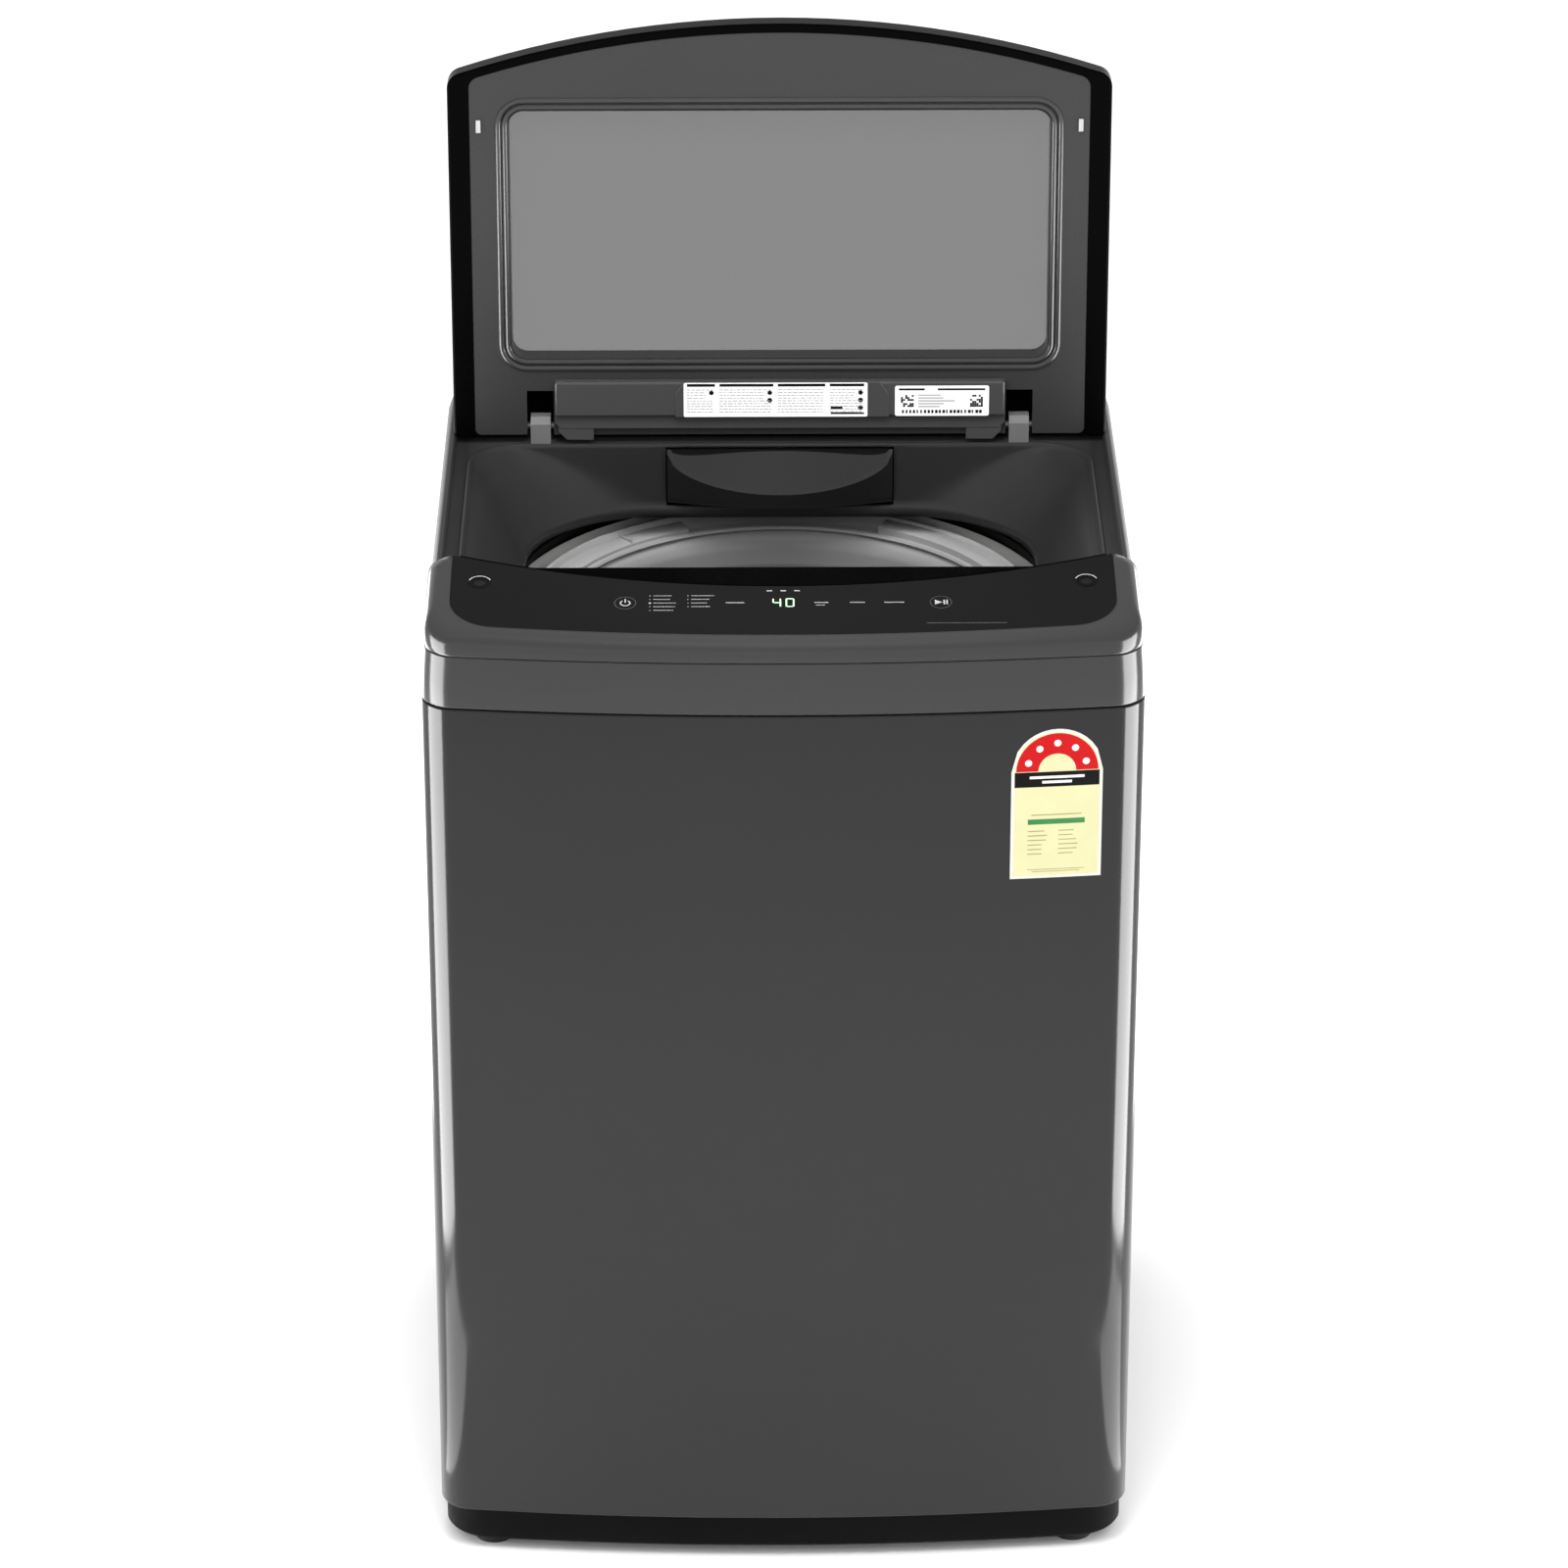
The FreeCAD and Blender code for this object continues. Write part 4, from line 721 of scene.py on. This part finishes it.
HINGE = next(joint for joint in frame["joints"] if joint["name"] == "lid_hinge")
PIVOT = Vector(HINGE["pos_m"]) / MM
OPEN_ANGLE = math.radians(max(HINGE["range_deg"]))
LID_UNDER = 922.8
WINDOW = dict(side=247, front=-128, rear=110, corner=14)


def opened(point):
    """Where a point of the closed lid is with the lid at rest, which is open."""
    offset = Vector(point) - PIVOT
    turned = Matrix.Rotation(-OPEN_ANGLE, 3, "X") @ offset
    return tuple(PIVOT + turned)


def window_loop(offset, depth):
    plan = outline(WINDOW["side"] + offset, WINDOW["front"] - offset, WINDOW["rear"] + offset,
                   WINDOW["corner"] + offset, WINDOW["corner"] + offset)
    return [opened((x, y, LID_UNDER - depth)) for x, y in plan]


def make_window_beads():
    """Two rounded ridges round the sight window."""
    def ridge(middle, half, tall):
        return [(middle + half * math.sin(turn), tall * math.cos(turn))
                for turn in [math.pi * (i / 8 - 0.5) for i in range(9)]]

    profile = [(0.3, -2.0), (0.6, 0.0)] + ridge(3.7, 2.7, 2.2) + ridge(9.9, 2.9, 2.3) + [(12.9, -0.6)]
    loft("window_beads", [window_loop(offset, depth) for offset, depth in profile], "lid", "lid_grey",
         material=BEAD_GLOSS, replaces=["glass_trim"], sharp=60)


def make_plate(name, outline_points, low, high, body, slot, transform=None, bevel=0.0, **options):
    """A flat plate with a plan outline between two heights, bevelled, then put in place."""
    points = [(x, y, low) for x, y in outline_points] + [(x, y, high) for x, y in outline_points]
    if transform:
        points = [transform(point) for point in points]
    count = len(outline_points)
    faces = [tuple(range(count)), tuple(range(count, 2 * count))]
    faces += [(i, (i + 1) % count, count + (i + 1) % count, count + i) for i in range(count)]
    piece = make_piece(name, points, faces, body, slot, **options)
    if bevel:
        soften(piece, bevel, 30, 3)
    return piece


def make_hinge_cover():
    top, low, half = 130, 164, 208.6
    step = [(-half, low - 5), (half, low - 5), (half, 172), (half - 5, 177.5), (5 - half, 177.5),
            (-half, 172)]
    raised = [(-97, 164.5), (-97, 141), (-88, 129.6), (92, 129.6), (101, 141), (101, 164.5)]
    tab = ((half - 3, 174), (half - 3, 181), (half - 11, 189), (half - 36, 189), (half - 36, 174))
    parts = [("hinge_cover_body", rect(-half, top, half, low), 912, LID_UNDER - 0.1, 2.4),
             ("hinge_cover_step", step, 917, LID_UNDER - 0.2, 0.8),
             ("hinge_cover_middle", raised, 910.7, 913, 1.0)]
    for word, side in SIDES:
        parts.append(("hinge_tab_" + word, [(side * x, y) for x, y in tab], 917.6, LID_UNDER - 0.3, 1.0))
    for name, plan, floor, ceiling, bevel in parts:
        make_plate(name, plan, floor, ceiling, "lid", "lid_grey", opened, bevel, material=COVER_GREY,
                   replaces=["hinge_cover"])


# ---------------------------------------------------------------- printed shapes

def rect(left, low, right, high):
    return [(left, low), (right, low), (right, high), (left, high)]


def sliced(shape, width=4):
    """A rectangle in upright slices, so that it can follow a curved face."""
    left, right = shape[0][0], shape[1][0]
    count = max(1, math.ceil((right - left) / width))
    edges = [left + (right - left) * i / count for i in range(count + 1)]
    return [rect(a, shape[0][1], b, shape[2][1]) for a, b in zip(edges, edges[1:])]


def disc(x, y, radius, steps=24, begin=0.0, end=2 * math.pi):
    whole = end - begin > 6.28
    count = steps if whole else steps + 1
    return [(x + radius * math.cos(begin + (end - begin) * i / steps),
             y + radius * math.sin(begin + (end - begin) * i / steps)) for i in range(count)]


def band(x, y, inner, outer, begin, end, steps=24):
    """Quads of an arc with a width."""
    shapes = []
    for i in range(steps):
        a = begin + (end - begin) * i / steps
        b = begin + (end - begin) * (i + 1) / steps
        shapes.append([(x + r * math.cos(t), y + r * math.sin(t))
                       for r, t in ((inner, a), (outer, a), (outer, b), (inner, b))])
    return shapes


def make_print(name, shapes, place, lift, body, slot, material=None):
    """Printed shapes, each a flat polygon, laid on a surface by place(x, y, lift) with a thin edge."""
    points, faces = [], []
    for shape in shapes:
        count = len(shape)
        start = len(points)
        points += [place(x, y, lift) for x, y in shape]
        points += [place(x, y, lift - 0.06) for x, y in shape]
        faces.append(tuple(range(start, start + count)))
        faces += [(start + i, start + (i + 1) % count, start + count + (i + 1) % count, start + count + i)
                  for i in range(count)]
    piece = make_piece(name, points, faces, body, slot, material, merge=0.0001)
    piece.data.shade_flat()
    return piece


SEGMENTS = {"0": "abcdef", "4": "fgbc"}


def seven_segment(figure, x, y, wide, tall, stroke):
    bars = {
        "a": rect(x + stroke, y + tall - stroke, x + wide - stroke, y + tall),
        "g": rect(x + stroke, y + (tall - stroke) / 2, x + wide - stroke, y + (tall + stroke) / 2),
        "d": rect(x + stroke, y, x + wide - stroke, y + stroke),
        "f": rect(x, y + tall / 2, x + stroke, y + tall - stroke / 2),
        "b": rect(x + wide - stroke, y + tall / 2, x + wide, y + tall - stroke / 2),
        "e": rect(x, y + stroke / 2, x + stroke, y + tall / 2),
        "c": rect(x + wide - stroke, y + stroke / 2, x + wide, y + tall / 2),
    }
    return [bars[letter] for letter in SEGMENTS[figure]]


def make_panel_graphics():
    """Generic marks on the touch panel: a power symbol, rows of dashes for the programmes,
    a two-figure display, dashes for the keys and a start symbol."""
    rise = 49
    power, start = -137.5, 137
    light = band(power, rise, 3.6, 4.7, math.radians(125), math.radians(415), 20)
    light.append(rect(power - 0.55, rise + 0.6, power + 0.55, rise + 6.2))
    light.append([(start - 5.2, rise - 3.6), (start + 1.2, rise), (start - 5.2, rise + 3.6)])
    light += [rect(start + 2.2, rise - 3.4, start + 3.5, rise + 3.4),
              rect(start + 4.7, rise - 3.4, start + 6.0, rise + 3.4)]
    draw = random.Random(4)

    def words(left, level, width, tall=0.8):
        """A short row of dashes, standing for printed words."""
        made, x = [], left
        while x < left + width - 1:
            length = min(draw.uniform(1.0, 2.4), left + width - x)
            made.append(rect(x, level - tall / 2, x + length, level + tall / 2))
            x += length + 0.5
        return made

    for left, rows in ((-113, 5), (-80, 4)):
        for row in range(rows):
            level = 60 - row * 5.6
            light += words(left, level, draw.uniform(14, 21))
            light.append(disc(left - 3, level, 0.5, 10))
    light.append(disc(-116, 60 - 2 * 5.6, 1.1, 12))
    for x, width in ((-50, 16), (27, 12), (58, 14), (88, 17)):
        light += words(x, rise, width, 1.2)
    light += words(28, rise - 4, 8)
    for x in (-12, 0, 12):
        light.append(rect(x - 2.4, 66.6, x + 2.4, 68.0))
    dim = band(power, rise, 9.0, 9.5, 0, 2 * math.pi, 40) + band(start, rise, 9.0, 9.5, 0, 2 * math.pi, 40)
    dim += words(124, 17, 70, 1.1)
    figures = seven_segment("4", -9.5, 42.5, 7.5, 13, 1.2) + seven_segment("0", 2, 42.5, 7.5, 13, 1.2)
    for name, shapes, tone in (("panel_marks", light, "panel_light"), ("panel_faint_marks", dim, "panel_dim"),
                               ("panel_figures", figures, "digits")):
        make_print(name, shapes, panel_point, 0.12, "root", "gloss_black", PRINTS[tone])


def make_bumper_painted_shade():
    """Painted shade and a painted highlight round the lid's rubber stops: a flat black ring stands for the shade
    of the well that each stop sits in, and a grey arc along the well's upper edge stands for a glint.
    """
    node = Extent("panel_bumpers")
    rise = ((node.front + node.rear) / 2 - PANEL_FRONT) / math.cos(PANEL_SLOPE)
    whole, painted_glint_span = (0, 2 * math.pi), (math.radians(20), math.radians(160))
    for word, side in SIDES:
        x = side * (node.right - (node.rear - node.front) / 2)
        # The black ring is painted shade; the grey arc over the upper half is a painted highlight.
        for part, inner, outer, lift, tone, span in (("ring", 5.4, 9.2, 0.25, "black", whole),
                                                     ("edge", 9.2, 10.1, 0.3, "grey", painted_glint_span)):
            make_print("bumper_%s_%s" % (part, word), band(x, rise, inner, outer, *span, 32), panel_point,
                       lift, "root", "gloss_black", PRINTS[tone])


def make_energy_label():
    """A generic rating sticker with an arched top: a red band with dots, a dark band and plain bars."""
    left, right = sticker_box.left, sticker_box.right
    low, high = sticker_box.bottom, sticker_box.top
    middle = (left + right) / 2
    radius = (right - left) / 2
    spring = high - radius
    centre_y = CABINET_FRONT + FRONT_BOW

    def place(x, z, lift):
        reach = FRONT_BOW + lift
        return (x, centre_y - math.sqrt(reach ** 2 - x ** 2), z)

    def arch(inset, base):
        return ([(left + inset, base), (right - inset, base)]
                + disc(middle, spring, radius - inset, 32, 0, math.pi))

    def split_columns(shape):
        """Cut an arch into upright slices, so that it bends with the front."""
        inset_left = min(x for x, z in shape)
        inset_right = max(x for x, z in shape)
        base = min(z for x, z in shape)
        reach = (inset_right - inset_left) / 2
        slices = []
        count = 16
        for i in range(count):
            a = inset_left + 2 * reach * i / count
            b = inset_left + 2 * reach * (i + 1) / count
            tops = [spring + math.sqrt(max(0, reach ** 2 - (x - middle) ** 2)) for x in (a, b)]
            slices.append([(a, base), (b, base), (b, tops[1]), (a, tops[0])])
        return slices

    def sheet(name, shapes, lift, material):
        make_print(name, shapes, place, lift, "root", "sticker", material)

    base = make_print("rating_sticker", split_columns(arch(0, low)), place, 0.30, "root", "sticker")
    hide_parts("energy_label")
    sheet("sticker_field", split_columns(arch(2.6, low + 2.4)), 0.34, PRINTS["cream"])
    sheet("sticker_arc", band(middle, spring, 16.5, radius - 4, 0, math.pi, 32), 0.38, PRINTS["red"])
    dots = [disc(middle + 26.5 * math.cos(turn), spring + 26.5 * math.sin(turn), 3.1, 16)
            for turn in [math.radians(18 + 36 * i) for i in range(5)]]
    sheet("sticker_dots", dots, 0.42, MATERIALS["label_white"])
    sheet("sticker_band", sliced(rect(left + 2.8, spring - 15, right - 2.8, spring - 0.6)), 0.38,
          PRINTS["black"])
    sheet("sticker_band_bars", sliced(rect(middle - 24, spring - 7, middle + 24, spring - 4.6))
          + sliced(rect(middle - 13, spring - 11.6, middle + 13, spring - 9.2)),
          0.42, MATERIALS["label_white"])
    sheet("sticker_bar", sliced(rect(left + 15, low + 52, right - 15, low + 57)), 0.38, PRINTS["green"])
    lines = []
    draw = random.Random(7)
    lines += sliced(rect(left + 18, low + 60.5, right - 18, low + 61.6))
    for i in range(6):
        level = low + 45 - i * 4.4
        lines += sliced(rect(left + 15, level, left + 15 + draw.uniform(12, 20), level + 1.0))
        lines += sliced(rect(middle + 2, level, middle + 2 + draw.uniform(12, 22), level + 1.0))
    lines += sliced(rect(left + 15, low + 8, right - 15, low + 8.7))
    lines += sliced(rect(left + 19, low + 6, right - 19, low + 6.7))
    sheet("sticker_lines", lines, 0.38, PRINTS["olive"])


def make_lid_labels():
    """Two generic instruction labels on the hinge cover: plain bars, dashes and simple signs."""
    def plate(x, y, lift):
        return opened((x, y, 910.7 - lift))

    def side_plate(x, y, lift):
        return opened((x, y, 912 - lift))

    def rounded(left, low, right, high, radius):
        corners = ((right - radius, low + radius, -90), (right - radius, high - radius, 0),
                   (left + radius, high - radius, 90), (left + radius, low + radius, 180))
        points = []
        for x, y, turn in corners:
            points += disc(x, y, radius, 5, math.radians(turn), math.radians(turn + 90))
        return points

    draw = random.Random(11)
    sheet = make_print("info_sheet", [rounded(-89, 130.2, 81, 163.6, 1.5)], plate, 0.25, "lid",
                       "label_white")
    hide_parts("info_label")
    dark, faint = [], []
    for left, right, signs in ((-86, -60, 1), (-56, -6, 2), (-2, 42, 0), (46, 78, 3)):
        dark.append(rect(left, 131.2, right, 134.0))
        for i in range(9):
            level = 136.6 + i * 2.7
            reach = right - left - (9 if signs and i in (1, 2, 3) else 2)
            x = left
            while x < left + reach:
                length = min(draw.uniform(1.5, 5), left + reach - x)
                faint.append(rect(x, level, x + length, level + 1.1))
                x += length + 0.8
        for sign in range(signs):
            dark.append(disc(right - 3.4, 140 + 7.4 * sign, 2.6, 5 + sign))
    dark += [rect(47, 153.6, 58, 156.4), rect(47, 159.4, 78, 161.2)]
    make_print("info_bars", dark, plate, 0.3, "lid", "label_white", PRINTS["black"])
    make_print("info_dashes", faint, plate, 0.3, "lid", "label_white", PRINTS["grey"])
    rating = make_print("rating_sheet", [rounded(106.5, 134, 193.5, 163.6, 2.0)], side_plate, 0.25, "lid",
                        "label_white")
    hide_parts("rating_label")
    dark, faint = [], []
    for x in (112, 176):
        for column in range(6):
            for row_index in range(6):
                if draw.random() < 0.55:
                    x0, y0 = x + column * 2, 143 + row_index * 2
                    dark.append(rect(x0, y0, x0 + 1.9, y0 + 1.9))
    for i in range(22):
        dark.append(rect(113 + i * 3.4, 157.8, 113 + i * 3.4 + draw.uniform(1.2, 2.8), 161))
    for left, right in ((110, 134), (146, 190)):
        dark.append(rect(left, 136.6, right, 138.6))
    for i in range(5):
        faint.append(rect(128, 142.6 + i * 2.8, 128 + draw.uniform(18, 40), 144 + i * 2.8))
    make_print("rating_bars", dark, side_plate, 0.3, "lid", "label_white", PRINTS["black"])
    make_print("rating_dashes", faint, side_plate, 0.3, "lid", "label_white", PRINTS["grey"])


# ---------------------------------------------------------------- drum

def make_balance_ring():
    """A hollow ring with a rolled inner lip, a groove, a bulged wall and a trough on top."""
    profile = [(211, 768), (206, 774), (205.2, 779), (204.8, 786), (203.6, 792), (203.6, 797), (205.2, 802),
               (206.6, 806), (209.4, 808), (209.4, 810), (206.4, 811), (205, 812.8), (206, 815),
               (208.6, 815.8), (211, 814.6), (212.4, 811.4), (213.6, 810.2), (225.6, 810.2), (227.4, 811.4),
               (229, 822), (230.4, 824.6), (232.6, 825), (235, 823.6), (239.6, 813), (240.6, 806),
               (240.9, 780), (240, 775.4), (238, 775), (238, 768)]
    revolve("balance_ring_skin", profile, "drum", "grey_plastic", steps=160,
            replaces=["balance_ring"], sharp=42)
    spans = (("a", 4, 64, 822.4), ("b", 184, 244, 822.4), ("c", 114, 178, 819.6), ("d", 294, 358, 819.6))
    for word, begin, end, top in spans:
        section = [(210.5, 811), (210.5, top - 2), (212, top - 0.8), (228, top), (229.6, top - 0.8),
                   (229.6, 811)]
        rows = []
        for i in range(25):
            angle = math.radians(begin + (end - begin) * i / 24)
            rows.append([(r * math.cos(angle), r * math.sin(angle), z) for r, z in section])
        loft("ring_pad_" + word, rows, "drum", "grey_plastic", cap_first=True, cap_last=True, sharp=40)
    for word, turn in (("a", 131), ("b", 311)):
        angle = math.radians(turn)
        out = Vector((math.cos(angle), math.sin(angle)))
        across = Vector((-out.y, out.x)) * 1.1
        plan = [out * 210.8 - across, out * 229.4 - across, out * 229.4 + across, out * 210.8 + across]
        plan = [tuple(point) for point in plan]
        make_plate("ring_rib_" + word, plan, 811, 821.6, "drum", "grey_plastic", bevel=0.5)


def make_basket():
    """The steel wall with its rows of drain holes, and the floor pressing."""
    radius, low, high = basket.right - 1.3, 288, ring_box.bottom + 4
    columns, rows, hole = 64, 15, 2.1
    points, faces = [], []
    cell_wide = 2 * math.pi / columns
    cell_tall = (high - low) / rows

    def put(angle, level, depth=0.0):
        points.append(((radius - depth) * math.cos(angle), (radius - depth) * math.sin(angle), level))
        return len(points) - 1

    for i in range(columns):
        for j in range(rows):
            middle = (i + 0.5) * cell_wide
            level = low + (j + 0.5) * cell_tall
            frame_points = []
            for u, v in ((1, 0), (1, 1), (0, 1), (-1, 1), (-1, 0), (-1, -1), (0, -1), (1, -1)):
                frame_points.append(put(middle + u * cell_wide / 2, level + v * cell_tall / 2))
            rim = [put(middle + 1.6 * hole * math.cos(k * math.pi / 4) / radius,
                       level + 1.6 * hole * math.sin(k * math.pi / 4)) for k in range(8)]
            inner = [put(middle + hole * math.cos(k * math.pi / 4) / radius,
                         level + hole * math.sin(k * math.pi / 4), -0.7) for k in range(8)]
            for k in range(8):
                n = (k + 1) % 8
                faces.append((frame_points[k], frame_points[n], rim[n], rim[k]))
                faces.append((rim[k], rim[n], inner[n], inner[k]))
    wall = make_piece("basket_wall", points, faces, "drum", "stainless", replaces=["wash_basket"], sharp=50)
    thicken(wall, 0.8, 1)
    floor_profile = [(60, 269.5), (120, 269.8), (228, 269.8), (235, 273), (238.4, 280), (239.2, 288.5),
                     (239.9, 288.5), (239.2, 279), (236, 271), (229, 268.2), (60, 268)]
    revolve("basket_floor", floor_profile, "drum", "stainless", replaces=["wash_basket"], sharp=50)


def make_lint_filter(word, side):
    """A framed louvre over a net pocket."""
    box = Extent("lint_filter_" + word)
    outer = max(abs(box.left), abs(box.right)) - 1
    inner = min(abs(box.left), abs(box.right)) + 0.5

    def block(name, x0, x1, y0, y1, z0, z1, bevel):
        plan = rect(min(side * x0, side * x1), y0, max(side * x0, side * x1), y1)
        make_plate(name, plan, z0, z1, "drum", "grey_plastic", bevel=bevel,
                   replaces=["lint_filter_" + word])

    wide = 6
    for i, (y0, y1) in enumerate(((box.front + 0.4, box.front + wide), (box.rear - wide, box.rear - 0.4))):
        block("filter_post_%s_%d" % (word, i), inner + 2, outer - 2, y0, y1, box.bottom, box.top, 1.2)
    for i, z0 in enumerate((box.bottom, box.top - 8)):
        block("filter_end_%s_%d" % (word, i), inner, outer, box.front + 3, box.rear - 3, z0, z0 + 8, 1.2)
    slats = 11
    pitch = (box.top - box.bottom - 16) / slats
    for i in range(slats):
        z0 = box.bottom + 8 + pitch * i + 2
        block("filter_slat_%s_%d" % (word, i), inner + 1.5, inner + 5, box.front + wide, box.rear - wide,
              z0, z0 + pitch * 0.45, 0.6)


def make_pulsator():
    """A dished disc with six swept fins and a domed cap."""
    profile = [(9, 290), (40, 290), (40, 282.4), (150, 282.4), (172, 283), (178.5, 286), (179.8, 290),
               (178, 294), (172, 295.6), (160, 295.2), (120, 297.5), (84, 301), (60, 306), (44, 316),
               (36, 326), (30, 329.4), (22.4, 329.8), (22.4, 326.2), (9, 326.2)]
    revolve("pulsator_disc", profile, "agitator", "grey_plastic", steps=120, replaces=["pulsator"], sharp=50)
    count = 6
    for number in range(count):
        loops = []
        steps = 16
        for i in range(steps + 1):
            share = i / steps
            radius = 40 + 122 * share
            angle = 2 * math.pi * number / count + 0.45 * share ** 1.4
            ground = 314 - 19 * min(1, share * 2.2) - 1.5
            tall = 4 + 20 * math.sin(math.pi * min(1, 0.15 + share * 0.95)) ** 0.8
            half = 11 * (1 - 0.55 * share)
            out = Vector((math.cos(angle), math.sin(angle)))
            across = Vector((-out.y, out.x))
            loop = []
            for k in range(9):
                turn = math.pi * k / 8
                spot = out * radius + across * (half * math.cos(turn))
                loop.append((spot.x, spot.y, ground + tall * math.sin(turn)))
            loops.append(loop)
        loft("pulsator_fin_%d" % number, loops, "agitator", "grey_plastic", cap_first=True, cap_last=True,
             sharp=60)
    cap = [(0, 336.8), (6, 336.5), (12, 335.2), (17, 333), (20.4, 330.2), (21.4, 327.6), (21.4, 326.6),
           (0, 326.6)]
    revolve("pulsator_dome", cap, "agitator", "grey_plastic", steps=64, closed_profile=False,
            replaces=["pulsator_cap"], sharp=50)


# ---------------------------------------------------------------- run

make_camera()
make_studio()
paint_nodes()
make_cabinet()
make_bezel()
make_skirt()
make_deck()
make_bowl()
make_drawer_front()
make_window_beads()
make_hinge_cover()
make_panel_graphics()
make_bumper_painted_shade()
make_energy_label()
make_lid_labels()
make_balance_ring()
make_basket()
for word, side in SIDES:
    make_lint_filter(word, side)
make_pulsator()
